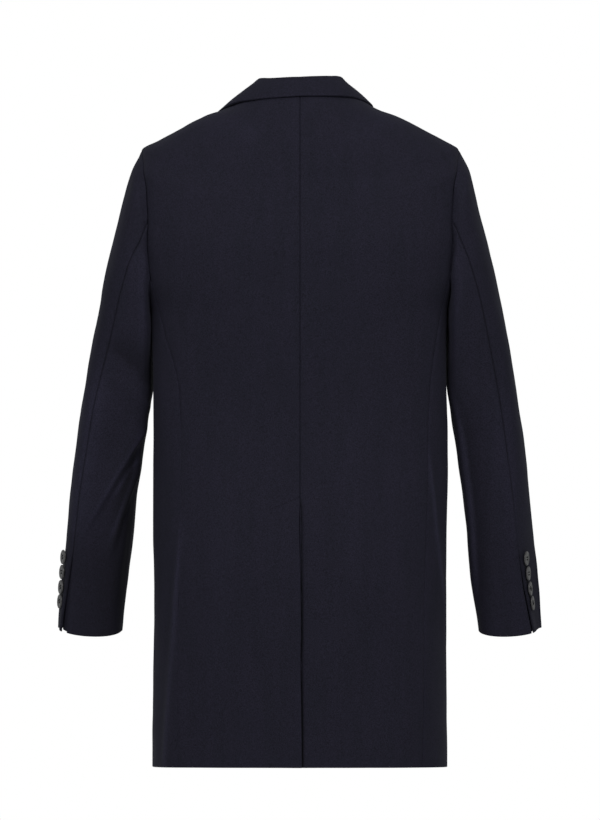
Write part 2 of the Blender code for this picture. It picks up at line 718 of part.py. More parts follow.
def main():
    for old in list(bpy.data.objects):
        bpy.data.objects.remove(old)
    bpy.context.scene.collection.children.link(bpy.data.collections.new("coat"))
    wool = cloth_material("navy_wool", NAVY, 0.92)
    horn = cloth_material("horn", HORN, 0.45)
    for hand, side in (("left", -1), ("right", 1)):
        make_back(f"back_{hand}", side, wool)
        make_side(f"side_{hand}", side, wool)
        make_front(f"front_{hand}", side, wool)
        make_lapel(f"lapel_{hand}", side, wool)
        sleeve = sleeve_form(side)
        count = sleeve.points.shape[1]
        make_sleeve_panel(f"sleeve_upper_{hand}", sleeve, sleeve.front_seam, count + sleeve.elbow, True, wool)
        make_sleeve_panel(f"sleeve_under_{hand}", sleeve, sleeve.elbow, sleeve.front_seam, False, wool)
        make_cuff_lap(f"cuff_lap_{hand}", sleeve, wool)
        make_cuff_buttons(sleeve, hand, horn)
    make_vent_lap("vent_lap", wool)
    make_collar("collar", wool)
    make_front_buttons(horn)


main()
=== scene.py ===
"""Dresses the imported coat: cloth shells on the solids' forms, with creases, seams, stitches and buttons.

The coat is in metres, +Z up, with its back towards -Y. A place on the body cloth is a level (the height of
the coat's side there) and a girth (the distance round it from the centre back). A place on a sleeve is a row,
counted down its rings, and a column, counted round it from the shoulder down the back.
"""

import functools
import math
from collections import namedtuple

import bmesh
import bpy
import numpy as np
from mathutils import Matrix, Vector


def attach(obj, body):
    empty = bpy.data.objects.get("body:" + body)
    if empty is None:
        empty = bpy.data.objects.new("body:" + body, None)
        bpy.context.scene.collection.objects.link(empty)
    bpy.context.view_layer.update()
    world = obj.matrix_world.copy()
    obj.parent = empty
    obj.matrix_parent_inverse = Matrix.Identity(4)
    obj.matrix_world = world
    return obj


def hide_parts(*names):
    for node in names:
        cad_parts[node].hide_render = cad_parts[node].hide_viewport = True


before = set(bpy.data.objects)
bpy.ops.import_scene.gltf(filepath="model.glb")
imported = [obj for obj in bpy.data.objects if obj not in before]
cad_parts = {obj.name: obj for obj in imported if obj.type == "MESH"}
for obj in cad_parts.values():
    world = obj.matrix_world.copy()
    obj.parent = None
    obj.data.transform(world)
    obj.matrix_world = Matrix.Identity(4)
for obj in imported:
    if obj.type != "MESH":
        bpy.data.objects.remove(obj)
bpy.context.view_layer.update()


def table(columns, *rows):
    """A table with named columns."""
    row = namedtuple("Row", columns)
    return tuple(row(*values) for values in rows)


# Cloth and seams
CLOTH = 0.0024
COLLAR_CLOTH = 0.0020
SEAM_GAP = 0.0001
LAYER_GAP = 0.0006
EDGE_STEPS = np.array([0.0, 0.0003, 0.0007, 0.0013, 0.0022, 0.0035])
EDGE_ROUND = 0.0011
DITCH_DEPTH = 0.0011
DITCH_WIDTH = 0.0042
# Painted shade along the sleeves' elbow seams: how dark, and how wide
ELBOW_SHADE = 0.32
ELBOW_SHADE_WIDTH = 0.0013
CENTRE_DITCH_DEPTH = 0.0007
CENTRE_DITCH_WIDTH = 0.0024
ALLOWANCE = 0.008
ALLOWANCE_CLOTH = 0.0012
CLOTH_SHARP = 50.0

# Levels of the body
HEM = -0.908
VENT_TOP = -0.538
SEAM_TOP = -0.235
UNDERARM = -0.285
SHOULDER = -0.063
NECK = 0.012

# Body outline: one row for each level, with the depths measured from the widest line
SECTIONS = table(
    "side_z back_z front_z half_width back_depth front_depth widest_y squareness",
    (HEM, HEM, HEM, 0.2007, 0.124, 0.132, -0.012, 2.5),
    (-0.660, -0.660, -0.660, 0.2007, 0.128, 0.130, -0.014, 2.5),
    (-0.400, -0.400, -0.400, 0.2007, 0.086, 0.144, -0.030, 2.55),
    (UNDERARM, -0.288, -0.290, 0.2026, 0.096, 0.152, -0.026, 2.8),
    (SEAM_TOP, -0.243, -0.250, 0.2150, 0.103, 0.144, -0.020, 3.6),
    (-0.170, -0.190, -0.205, 0.2220, 0.112, 0.132, -0.012, 4.0),
    (-0.095, -0.132, -0.160, 0.2210, 0.107, 0.118, -0.008, 3.6),
    (SHOULDER, -0.104, -0.138, 0.2165, 0.104, 0.110, -0.006, 2.5),
    (-0.0500, -0.083, -0.126, 0.1935, 0.1025, 0.105, -0.005, 2.4),
    (-0.0384, -0.062, -0.114, 0.1716, 0.100, 0.100, -0.004, 2.3),
    (-0.0170, -0.026, -0.096, 0.1300, 0.092, 0.092, -0.003, 2.2),
    (-0.010, -0.008, -0.090, 0.1090, 0.0865, 0.088, -0.002, 2.15),
    (NECK, 0.0165, -0.072, 0.0735, 0.0725, 0.078, 0.0, 2.1),
)
ARMHOLE = table(
    "level back_y front_y",
    (SEAM_TOP, -0.082, 0.067),
    (-0.170, -0.089, 0.079),
    (-0.110, -0.076, 0.066),
    (-0.080, -0.049, 0.039),
    (SHOULDER, -0.006, -0.006),
)
SIDE_SEAMS = table(
    "level back_left_x back_right_x front_x",
    (HEM, 0.166, 0.168, 0.168),
    (-0.560, 0.162, 0.172, 0.166),
    (-0.400, 0.1655, 0.1775, 0.170),
    (-0.300, 0.188, 0.1905, 0.186),
)

# Front edges, roll line and lapels
OVERLAP = 0.036
OVERLAP_EASE = 0.045
ROLL_START = -0.345
GORGE_TURN = 131.0
ROLL_BOW = 1.25
LAPEL_GORGE_LEVEL = 0.004
LAPEL_TIP_LEVEL = -0.044
LAPEL = table("share width", (0.0, 0.003), (0.25, 0.034), (0.6, 0.066), (1.0, 0.090))
LAPEL_GAP = 0.0020
LAPEL_LIFT = 0.0040

# Collar: one row for each station from centre back to its front end
COLLAR = table(
    "turn fold_in fold_rise edge_level",
    (0.0, 0.0090, 0.0198, 0.0042),
    (40.0, 0.0125, 0.0212, 0.0030),
    (54.0, 0.0125, 0.0222, 0.0025),
    (60.0, 0.0125, 0.0222, 0.0020),
    (66.0, 0.0125, 0.0208, 0.0008),
    (75.0, 0.0125, 0.0186, -0.0014),
    (95.0, 0.0120, 0.0160, -0.0075),
    (115.0, 0.0100, 0.0140, -0.0150),
    (GORGE_TURN, 0.0080, 0.0120, -0.0300),
)
FOLD_RADIUS = 0.0045
FOLD_LEAN = 0.022
EDGE_LEAN = 0.042
COLLAR_STAND_OFF = 0.0031
FOLD_SWING = (-80, 60)
FALL_BOW_UP, FALL_BOW_OUT = 0.0012, 0.00072
COLLAR_END_TURNS = np.array([0.3, 0.8, 1.6, 2.6])
COLLAR_RADIUS = 0.1
COLLAR_SWELL = 0.8

# Back vent: the wearer's left back laps over the right
VENT_LAP = 0.042
VENT_LAP_RISE = 0.0008
VENT_SLANT = 0.018
VENT_LIFT = 0.0042
VENT_LIFT_LENGTH = 0.06
VENT_EASE = 0.030
VENT_FADE = 0.02
VENT_TROUGH = 0.0030
VENT_TROUGH_WIDTH = 0.0060
# Painted shadow on the right back in the vent's gap beside the left back's edge: its darkness, its width, and
# how far past the edge it stays full, as a share of its width
VENT_SHADE = 0.75
VENT_SHADE_WIDTH = 0.0031
VENT_SHADE_START = 0.4
VENT_EDGE = table(
    "level cross",
    (HEM, 0.0026),
    (-0.830, 0.0018),
    (-0.757, 0.0004),
    (-0.725, 0.0014),
    (-0.640, 0.0002),
    (-0.575, -0.0010),
    (VENT_TOP, 0.0),
    (NECK, 0.0),
)
STITCHES = 15
STITCH_LENGTH, STITCH_RADIUS, STITCH_SINK = 0.0017, 0.00030, 0.00009

# Sleeve rings below the armhole: outer and inner points seen from behind, depth and place from the side, how
# square the back is, how far the front tucks in behind the body, and how flat the right sleeve is pressed
# from its elbow seam to its outer point. The elbow seam's angle is from the outer point towards the back.
RINGS = table(
    "outer_x outer_z inner_x inner_z middle_y half_depth squareness front_tuck back_drop "
    "elbow_left elbow_right flat_right",
    (0.2300, -0.0880, 0.2034, -0.2890, -0.004, 0.090, 2.6, 0.004, 0.000, 88, 86, 0.0),
    (0.2500, -0.1640, 0.2026, -0.3060, 0.000, 0.091, 3.2, 0.008, 0.000, 74, 75, 0.0),
    (0.2680, -0.2400, 0.2022, -0.3330, 0.008, 0.086, 4.0, 0.010, 0.000, 66, 68, 0.0),
    (0.2838, -0.3220, 0.2014, -0.3720, 0.016, 0.078, 4.5, 0.008, 0.000, 60, 64, 0.0),
    (0.2984, -0.4050, 0.2075, -0.4250, 0.022, 0.070, 4.5, 0.003, 0.001, 51, 62, 0.0),
    (0.3094, -0.4880, 0.2180, -0.4950, 0.028, 0.062, 4.2, 0.000, 0.002, 46, 61, 0.2),
    (0.3190, -0.5700, 0.2265, -0.5720, 0.032, 0.056, 4.0, 0.000, 0.003, 42, 60, 0.6),
    (0.3255, -0.6500, 0.2350, -0.6500, 0.039, 0.051, 3.6, 0.000, 0.005, 40, 57, 0.95),
    (0.3300, -0.7180, 0.2436, -0.7220, 0.046, 0.048, 3.4, 0.000, 0.010, 39, 43, 0.95),
)
FRONT_SQUARENESS = 2.5
FRONT_SEAM_TURN = 128.0
CUFF_ROW = float(len(RINGS))
CUFF_VENT_ROW = 7.35
CUFF_END_ROW = CUFF_ROW - 0.02
CUFF_VENT_EASE, CUFF_VENT_FLAT = 0.15, 0.7
CUFF_LIFT = 0.0020
CUFF_LIFT_ROWS = 0.5
CUFF_EASE_TURN = 30.0
CUFF_GAPE = {"left": 0.0080, "right": 0.0038}
CUFF_GAPE_REACH = 0.040
CUFF_LAP_START, CUFF_LAP_TURN = 0.6, 21.0
COLUMN_PITCH, ROW_PITCH = 0.015, 0.07
SLEEVE_STEP = 0.06
ARM_BLEND_ROWS = 0.5
ARM_PUCKER_RISE = 0.0005
ARM_SEAM_ROWS = np.array([0.0, 0.03, 0.06])
SEAM_START_ROW = 0.3
SEAM_COLUMNS = 0.45

# Columns of a sleeve where its armhole edge passes these levels behind, under and before the arm
ARM_EDGE = table(
    "behind before level",
    (0.0, 26.0, SHOULDER),
    (2.0, 24.0, -0.085),
    (4.0, 22.0, -0.107),
    (6.0, 20.0, -0.130),
    (8.0, 18.0, -0.158),
    (9.0, 17.0, -0.205),
    (10.0, 16.0, SEAM_TOP),
)
ELBOW_COLUMN, UNDERARM_COLUMN, FRONT_COLUMN, COLUMNS = 8.0, 13.0, 17.0, 26.0

# Buttons
CUFF_BUTTON = 0.0200
CUFF_BUTTON_ROWS = (7.61, 7.87, 8.15, 8.43)
CUFF_BUTTON_INSET = {"left": 27.0, "right": 14.5}
FRONT_BUTTON = 0.0260
FRONT_BUTTON_LEVELS = (-0.370, -0.480, -0.590)
CUFF_BUTTON_LEAN = {"left": 7.0, "right": 11.0}
BUTTON_THICKNESS = 0.0032
BUTTON_SHANK = 0.0010
FRONT_SPIN, CUFF_SPIN = 0.4, 1.0

# A button of diameter 1, with heights as shares of its thickness
BUTTON_THICK = BUTTON_THICKNESS / CUFF_BUTTON
BUTTON_PROFILE = table(
    "radius height",
    (0.0, 0.80), (0.20, 0.80), (0.28, 0.82), (0.33, 0.87), (0.37, 0.94), (0.42, 1.0), (0.46, 0.97),
    (0.49, 0.82), (0.50, 0.62), (0.49, 0.42), (0.44, 0.22), (0.34, 0.05), (0.2, 0.0), (0.0, 0.0),
)
HOLE_PLACES = (-0.085, 0.085)
HOLE_RADIUS = 0.048
STRANDS = 4
STRAND_PITCH, STRAND_HEIGHT, STRAND_RADIUS, STRAND_LENGTH = 0.022, 0.86, 0.016, 0.22
SHANK_FOOT, SHANK_TOP, SHANK_LENGTH, SHANK_DROP = 0.11, 0.08, 0.09, -0.03
BUTTON_SHARP, THREAD_SHARP = 38.0, 40.0
WELD = 0.000005

# Creases in millimetres: ridges (rise above 0) and troughs along a curve that runs down from start past bend
# to end, as seen from that face, with the width of the flank on each side of the picture. The tone is painted
# light and shade: how much lighter the colour along the crease is painted, as a highlight, or darker, as
# shade.
CREASE = "x0 z0 bend_x bend_z x1 z1 left_width right_width rise tone"
BODY_BACK_CREASES = table(
    CREASE,
    # Left of the skirt: the side's edge, and soft drops beside it
    (-161, -540, -168, -740, -194, -1010, 6, 26, 4.2, 0),
    (-104, -470, -112, -640, -110, -860, 24, 16, 2.4, 0.07),
    (-136, -540, -142, -700, -150, -960, 14, 12, -1.6, 0),
    (-60, -700, -66, -820, -64, -1000, 20, 26, -1.4, 0),
    # A painted highlight along the edge of the skirt's side, with no rise.
    (-161, -540, -168, -740, -194, -1010, 3.4, 3.4, 0, 0.7),
    # Right of the skirt: the drag from the waist to the side, and soft drops
    (174, -455, 182, -580, 203, -720, 22, 4.5, 3, 0),
    (132, -470, 138, -580, 134, -760, 16, 18, 2.2, 0.06),
    (70, -400, 72, -520, 66, -700, 15, 22, 1.8, 0.06),
    (92, -640, 100, -780, 98, -1000, 22, 16, -1.8, 0),
    (62, -660, 60, -800, 64, -1000, 14, 14, 1.4, 0),
    # A painted highlight along the drag, with no rise.
    (174, -455, 182, -580, 203, -720, 2.6, 2.4, 0, 0.85),
    # Waist and blades
    (-150, -330, -90, -420, -60, -470, 26, 30, -1.6, 0),
    (160, -340, 100, -430, 70, -490, 28, 26, -1.4, 0),
    (-90, -90, -110, -180, -100, -300, 40, 30, 1.8, 0),
    (100, -90, 116, -190, 104, -310, 30, 40, 1.8, 0),
    # Painted highlights on the shoulders, with no rise.
    (-165, -12, -105, -20, -40, -60, 18, 18, 0, 0.14),
    (165, -12, 105, -20, 40, -60, 18, 18, 0, 0.14),
)
BODY_FRONT_CREASES = table(
    CREASE,
    # Hidden front of the body
    (-120, -520, -132, -740, -140, -1000, 18, 24, 3.6, 0),
    (-70, -620, -84, -800, -80, -1000, 16, 20, -2, 0),
    (116, -540, 128, -750, 142, -1000, 22, 17, 3.4, 0),
    (78, -600, 70, -790, 80, -1000, 18, 20, -1.8, 0),
    (-22, -376, -80, -400, -150, -400, 9, 14, 1.6, 0),
    (30, -380, 90, -410, 160, -420, 14, 9, 1.6, 0),
)
SLEEVE_BACK_CREASES = table(
    CREASE,
    # Left sleeve: the hollow at the elbow, and the folds that run from the bend down to the cuff, with
    # painted shade in the hollow and the troughs
    (-268, -330, -232, -352, -190, -398, 7, 24, -5.2, -0.26),
    (-262, -366, -230, -392, -192, -432, 12, 6, 3, 0),
    (-199, -425, -236, -486, -312, -612, 15, 4.2, 5.6, 0),
    (-210, -445, -231, -520, -256, -620, 10, 9, -5, -0.6),
    (-209, -468, -232, -535, -268, -640, 8, 4, 6, 0),
    (-212, -490, -230, -580, -246, -720, 7, 22, -3.4, -0.6),
    (-262, -250, -250, -300, -262, -360, 14, 12, -1.6, 0),
    # Painted highlights along the crests of the forearm's folds, with no rise
    (-203, -425, -240, -488, -306, -606, 3, 2.4, 0, 0.6),
    (-209, -440, -226, -520, -266, -610, 2.8, 2.6, 0, 1.9),
    (-206, -478, -232, -494, -262, -550, 2.6, 2.4, 0, 1.1),
    # Painted shade and light over broad parts of the forearm, with no rise: darker down its middle and inner
    # side, lighter on its outer side
    (-256, -560, -262, -690, -272, -880, 50, 50, 0, -0.28),
    (-262, -330, -300, -470, -318, -640, 20, 18, 0, 0.52),
    (-214, -440, -238, -560, -250, -800, 22, 20, 0, -0.4),
    # Right sleeve: the ridge along the inner edge, and the hollow beside it, with painted shade in the hollow
    (198, -370, 238, -478, 240, -770, 5, 4, 2.6, 0),
    # A painted highlight along the ridge, with no rise
    (200, -372, 242, -478, 242, -770, 2, 1.9, 0, 0.6),
    (210, -385, 244, -500, 246, -780, 4, 20, -4.4, -0.22),
    (212, -408, 222, -428, 228, -462, 3, 3, 1.6, 0),
    (214, -290, 228, -345, 206, -410, 14, 18, -2.4, 0),
    # Painted light down the outer side of the sleeve, with no rise
    (262, -360, 290, -470, 298, -660, 24, 24, 0, 0.22),
    # Armholes behind: painted light that makes the cloth lighter there, with no rise
    (-206, -180, -210, -250, -204, -360, 30, 30, 0, 0.35),
    (206, -180, 210, -250, 204, -360, 20, 20, 0, 0.25),
)
SLEEVE_FRONT_CREASES = table(
    CREASE,
    # Hidden front of the sleeves
    (-208, -380, -240, -420, -286, -440, 8, 12, 4, 0),
    (-212, -430, -246, -470, -296, -520, 10, 8, 4.4, 0),
    (-222, -520, -254, -580, -290, -680, 12, 9, -3, 0),
    (210, -390, 242, -424, 288, -450, 10, 9, 4.2, 0),
    (214, -450, 250, -500, 300, -540, 9, 11, 3.8, 0),
    (226, -530, 258, -600, 280, -700, 10, 12, -3, 0),
)
BACK, FRONT = -1, 1
CREASES = {
    "body": {BACK: BODY_BACK_CREASES, FRONT: BODY_FRONT_CREASES},
    "sleeve": {BACK: SLEEVE_BACK_CREASES, FRONT: SLEEVE_FRONT_CREASES},
}
MILLIMETRE = 0.001
CREASE_STEPS = 32
CREASE_FADE = 0.3
FACE_START, FACE_EASE = -0.15, 0.4
CREST = 1.8

# Soft swells of the whole cloth, and small drags beside its seams, each with its own lengths
SWELLS = table(
    "length rise", (0.21, 0.00050), (0.13, 0.00035), (0.085, 0.00024), (0.05, 0.00013), (0.028, 0.00006))
SWELL_WAYS = 3
SWELL_LEAN = np.array([1.0, 1.0, 0.55])
PUCKER_LENGTHS = (0.019, 0.031, 0.047, 0.083)
PUCKER_RISE = 0.00035
PUCKER_REACH = 0.022
BODY_SEED, SLEEVE_SEED, COLLAR_SEED, BUTTON_SEED = 21, 75, 61, 5

# Colours, linear
NAVY_DEEP = (0.0076, 0.0070, 0.0136)
NAVY_LIGHT = (0.0188, 0.0172, 0.0328)
NAVY_FIBRE = (0.0270, 0.0255, 0.0420)
STREAK = (0.90, 0.93, 0.91)
HORN_DEEP = (0.0363, 0.0352, 0.03685)
HORN_LIGHT = (0.104, 0.099, 0.100)
THREAD_DEEP = (0.0020, 0.0020, 0.0034)
THREAD_LIGHT = (0.0060, 0.0058, 0.0090)
BLACK, WHITE = (0.0, 0.0, 0.0), (1.0, 1.0, 1.0)


def column(rows, name):
    """One named column of a table, as numbers."""
    return np.array([getattr(row, name) for row in rows], float)


def through(knots, values, at):
    """A smooth curve through a table's values, which never swings past them, read at several places."""
    knots, values, at = np.asarray(knots, float), np.asarray(values, float), np.asarray(at, float)
    tail = (1,) * (values.ndim - 1)
    steps = np.diff(knots).reshape(-1, *tail)
    slopes = np.diff(values, axis=0) / steps
    before, after = slopes[:-1], slopes[1:]
    same_way = before * after > 0
    inner = np.where(same_way, 2 * before * after / np.where(same_way, before + after, 1.0), 0.0)
    tangents = np.concatenate([slopes[:1], inner, slopes[-1:]])
    i = np.clip(np.searchsorted(knots, at) - 1, 0, len(knots) - 2)
    t = np.clip((at - knots[i]) / np.diff(knots)[i], 0.0, 1.0).reshape(at.shape + tail)
    pull = t * (1 - t) ** 2 * steps[i] * tangents[i] + t * t * (t - 1) * steps[i] * tangents[i + 1]
    return values[i] + (values[i + 1] - values[i]) * t * t * (3 - 2 * t) + pull


def at_row(rows, key, place):
    """A table's row at a place between its rows, on a smooth curve through each column."""
    knots = column(rows, key)
    return rows[0]._replace(**{name: through(knots, column(rows, name), place) for name in rows[0]._fields})


def ease(value):
    """0 before 0, 1 after 1, and a soft step between."""
    t = np.clip(value, 0.0, 1.0)
    return t * t * (3 - 2 * t)


def unit(vectors):
    return vectors / np.linalg.norm(vectors, axis=-1, keepdims=True)


def spread(start, end, count):
    """Places from start to end with close ones at both edges, for one row or for many."""
    start, end = np.asarray(start, float)[..., None], np.asarray(end, float)[..., None]
    low, high = start + EDGE_STEPS[-1], end - EDGE_STEPS[-1]
    middle = low + (high - low) * np.linspace(0, 1, count)
    return np.concatenate([start + EDGE_STEPS[:-1], middle, end - EDGE_STEPS[-2::-1]], axis=-1)


def closer(places, length, both=True):
    """Places with more of them close to the last, or to both ends, where one unit of them has a length."""
    fine = EDGE_STEPS[1:-1] / length
    return np.sort(np.concatenate([places, places[-1] - fine] + [places[0] + fine] * both))


# The body form

TURNS = np.linspace(0, 180, 181)
SHARES = np.linspace(0, 1, 361)
NORMAL_STEP = 0.004


def section_points(level, turns):
    """Points of the body outline on the wearer's right. Turn 0 is at centre back, and 180 at centre front."""
    size = at_row(SECTIONS, "side_z", level)
    sine, cosine = np.abs(np.sin(np.radians(turns))), np.cos(np.radians(turns))
    power = 2 / size.squareness
    end_z = np.where(cosine > 0, size.back_z, size.front_z)
    depth = np.where(cosine > 0, -size.back_depth, size.front_depth)
    return np.stack([
        size.half_width * sine ** power,
        size.widest_y + depth * np.abs(cosine) ** power,
        size.side_z + (end_z - size.side_z) * cosine ** 2,
    ], axis=-1)


@functools.lru_cache(maxsize=None)
def section_line(level):
    """The body outline at a level: its points and their girths."""
    points = section_points(level, TURNS)
    lengths = np.linalg.norm(np.diff(points, axis=0), axis=1)
    return points, np.concatenate([[0.0], np.cumsum(lengths)])


LEVEL_GRID = np.concatenate([np.linspace(HEM, SHOULDER, 240), np.linspace(SHOULDER, NECK, 140)[1:]])


@functools.lru_cache(maxsize=None)
def body_table():
    """The body outline at many levels, at even shares of its girth, and each level's whole half girth."""
    grid, wholes = [], []
    for level in LEVEL_GRID:
        points, girths = section_line(float(level))
        places = SHARES * girths[-1]
        grid.append(np.stack([np.interp(places, girths, points[:, axis]) for axis in range(3)], axis=-1))
        wholes.append(girths[-1])
    return np.array(grid), np.array(wholes)


def whole_girth(level):
    return np.interp(level, LEVEL_GRID, body_table()[1])


def body_points(level, girth, side):
    """Points of the smooth body form. A girth past either middle line goes on round the other side."""
    grid, _ = body_table()
    whole = whole_girth(level)
    share = girth / whole
    crossed = (share < 0) | (share > 1)
    share = np.where(share < 0, -share, np.where(share > 1, 2 - share, share))
    i = np.clip(np.searchsorted(LEVEL_GRID, level) - 1, 0, len(LEVEL_GRID) - 2)
    t = np.clip((level - LEVEL_GRID[i]) / (LEVEL_GRID[i + 1] - LEVEL_GRID[i]), 0, 1)[..., None]
    place = share * (len(SHARES) - 1)
    j = np.clip(place.astype(int), 0, len(SHARES) - 2)
    s = (place - j)[..., None]
    low = grid[i, j] * (1 - s) + grid[i, j + 1] * s
    high = grid[i + 1, j] * (1 - s) + grid[i + 1, j + 1] * s
    points = low * (1 - t) + high * t
    points[..., 0] *= np.where(crossed, -side, side)
    return points


def body_normals(level, girth, side):
    round_it = body_points(level, girth + NORMAL_STEP, side) - body_points(level, girth - NORMAL_STEP, side)
    high, low = np.minimum(level + NORMAL_STEP, NECK), np.maximum(level - NORMAL_STEP, HEM)
    upwards = body_points(high, girth, side) - body_points(low, girth, side)
    return unit(np.cross(round_it, upwards) * side)


@functools.lru_cache(maxsize=None)
def side_edge(level, half, side):
    """The girth where the back or front ends: at its side seam, then the armhole, then the shoulder seam."""
    points, girths = section_line(level)
    middle = len(girths) // 2
    if level >= SHOULDER:
        return float(girths[middle])
    if level >= SEAM_TOP:
        y = getattr(at_row(ARMHOLE, "level", level), half + "_y")
        return float(np.interp(y, points[:, 1], girths))
    top = side_edge(SEAM_TOP, half, side)
    top_x = float(body_points(np.array(SEAM_TOP), np.array(top), 1)[0])
    name = "front_x" if half == "front" else "back_right_x" if side > 0 else "back_left_x"
    levels = np.append(column(SIDE_SEAMS, "level"), SEAM_TOP)
    x = float(through(levels, np.append(column(SIDE_SEAMS, name), top_x), level))
    if half == "back":
        return float(np.interp(x, points[:middle, 0], girths[:middle]))
    return float(np.interp(-x, -points[middle:, 0], girths[middle:]))


def side_edges(levels, half, side):
    girths = [side_edge(float(level), half, side) for level in np.ravel(levels)]
    return np.reshape(girths, np.shape(levels))


def front_edge(level):
    """The girth of a front's free edge: past the middle below the roll line, then along it to the neck."""
    _, girths = section_line(NECK)
    gorge_open = girths[-1] - np.interp(GORGE_TURN, TURNS, girths)
    share = np.maximum(0.0, (level - ROLL_START) / (NECK - ROLL_START))
    return whole_girth(level) + OVERLAP - share ** ROLL_BOW * (OVERLAP + gorge_open)


def overlap_lift(level, girth, side):
    """The wearer's left front lies on the right one, so it stands out from it near the middle."""
    past = girth - (whole_girth(level) - OVERLAP - OVERLAP_EASE)
    return (CLOTH + LAYER_GAP) * ease(past / OVERLAP_EASE) * (side < 0)


def vent_lift(level, girth, side):
    """Below the vent's top the left back's edge stands out over the right one."""
    return VENT_LIFT * ease((VENT_TOP - level) / VENT_LIFT_LENGTH) * ease(1 - girth / VENT_EASE) * (side < 0)


# How cloth stands off its form


def crease_shapes(part, points, normals):
    """How far the cloth stands out at each point, and the light and shade painted into its colour, from the
    creases on that part.
    """
    heights, painted_shading = np.zeros(points.shape[:-1]), np.ones(points.shape[:-1])
    steps = np.linspace(0, 1, CREASE_STEPS + 1)[:, None]
    for face, creases in CREASES[part].items():
        facing = ease((face * normals[..., 1] - FACE_START) / FACE_EASE)
        for crease in creases:
            start, bend, end = np.reshape(crease[:6], (3, 2)) * MILLIMETRE
            line = start * (1 - steps) ** 2 + 2 * bend * steps * (1 - steps) + end * steps ** 2
            gaps = points[..., None, [0, 2]] - line
            nearest = np.argmin(np.sum(gaps ** 2, axis=-1), axis=-1)
            gap = np.take_along_axis(gaps, nearest[..., None, None], axis=-2)[..., 0, :]
            run = np.gradient(line, axis=0)[nearest]
            length = np.linalg.norm(run, axis=-1)
            aside = (run[..., 0] * gap[..., 1] - run[..., 1] * gap[..., 0]) / length
            width = np.where(aside < 0, crease.left_width, crease.right_width) * MILLIMETRE
            along = (nearest + np.sum(gap * run, axis=-1) / length ** 2) / CREASE_STEPS
            fade = ease(along / CREASE_FADE) * ease((1 - along) / CREASE_FADE)
            shape = fade * np.exp(-((np.abs(aside) / width) ** CREST)) * facing
            heights += crease.rise * MILLIMETRE * shape
            # Painted light and shade: the colour is made lighter or darker along the crease by its tone.
            painted_shading *= 1 + crease.tone * shape
    return heights, painted_shading


def unevenness(points, seed):
    """Soft, irregular swells of hand-pressed cloth, a fraction of a millimetre high."""
    rng = np.random.default_rng(seed)
    height = np.zeros(points.shape[:-1])
    for swell in SWELLS:
        for _ in range(SWELL_WAYS):
            way = unit(rng.normal(size=3) * SWELL_LEAN)
            turns = points @ way * (2 * math.pi / swell.length)
            height += swell.rise * np.sin(turns + rng.uniform(0, 2 * math.pi))
    return height


def body_rise(points, normals):
    """How far the body's cloth stands off its form."""
    return crease_shapes("body", points, normals)[0] + unevenness(points, BODY_SEED)


def seam_dip(distance, depth=DITCH_DEPTH, width=DITCH_WIDTH):
    """Cloth turns in towards a seam, and its cut edge is rounded."""
    inside = np.maximum(EDGE_ROUND - distance, 0.0)
    rounding = EDGE_ROUND - np.sqrt(EDGE_ROUND ** 2 - np.minimum(inside, EDGE_ROUND) ** 2)
    return -depth * (1 - ease(distance / width)) - rounding


def puckers(distance, along, seed, rise=PUCKER_RISE):
    """Small uneven drags of the cloth beside a seam."""
    rng = np.random.default_rng(seed)
    wave = np.zeros(np.shape(along))
    for length in PUCKER_LENGTHS:
        wave += np.sin(along * 2 * math.pi / length + rng.uniform(0, 2 * math.pi)) * rng.uniform(0.5, 1.0)
    return rise * wave / 2 * np.exp(-distance / PUCKER_REACH)


def allowance(points, normals):
    """Cloth of a seam's allowance, which lies against the inside of the panels."""
    outer = points - normals * (CLOTH + LAYER_GAP)
    return outer, outer - normals * ALLOWANCE_CLOTH


# Making pieces


def new_piece(name, mesh, material, node=None):
    """A piece of the coat, which stands for a node where one is named."""
    mesh.materials.append(material)
    made = bpy.data.objects.new(name, mesh)
    bpy.context.scene.collection.objects.link(made)
    if node:
        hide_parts(node)
    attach(made, "root")
    return made


def smooth(mesh, sharp):
    """Smooth shading, but for edges sharper than an angle."""
    mesh.shade_smooth()
    mesh.set_sharp_from_angle(angle=math.radians(sharp))
    return mesh


def mesh_from(bm, name):
    mesh = bpy.data.meshes.new(name)
    bm.to_mesh(mesh)
    bm.free()
    return mesh


def add_rod(bm, segments, radius, length, place, end_radius=None):
    """Adds a capped rod along Z, moved to its place."""
    bmesh.ops.create_cone(
        bm, cap_ends=True, segments=segments, radius1=radius, radius2=end_radius or radius, depth=length,
        matrix=place)


def shell_faces(rows, columns):
    """Faces of a closed wall between two grids of points, the outer one first."""
    count = rows * columns
    grid = np.arange(count).reshape(rows, columns)
    face = np.stack([grid[:-1, :-1], grid[:-1, 1:], grid[1:, 1:], grid[1:, :-1]], axis=-1).reshape(-1, 4)
    rim = np.concatenate([grid[0, :-1], grid[:-1, -1], grid[-1, :0:-1], grid[:0:-1, 0]])
    after = np.roll(rim, -1)
    wall = np.stack([after, rim, rim + count, after + count], axis=-1)
    return np.concatenate([face, face[:, ::-1] + count, wall])


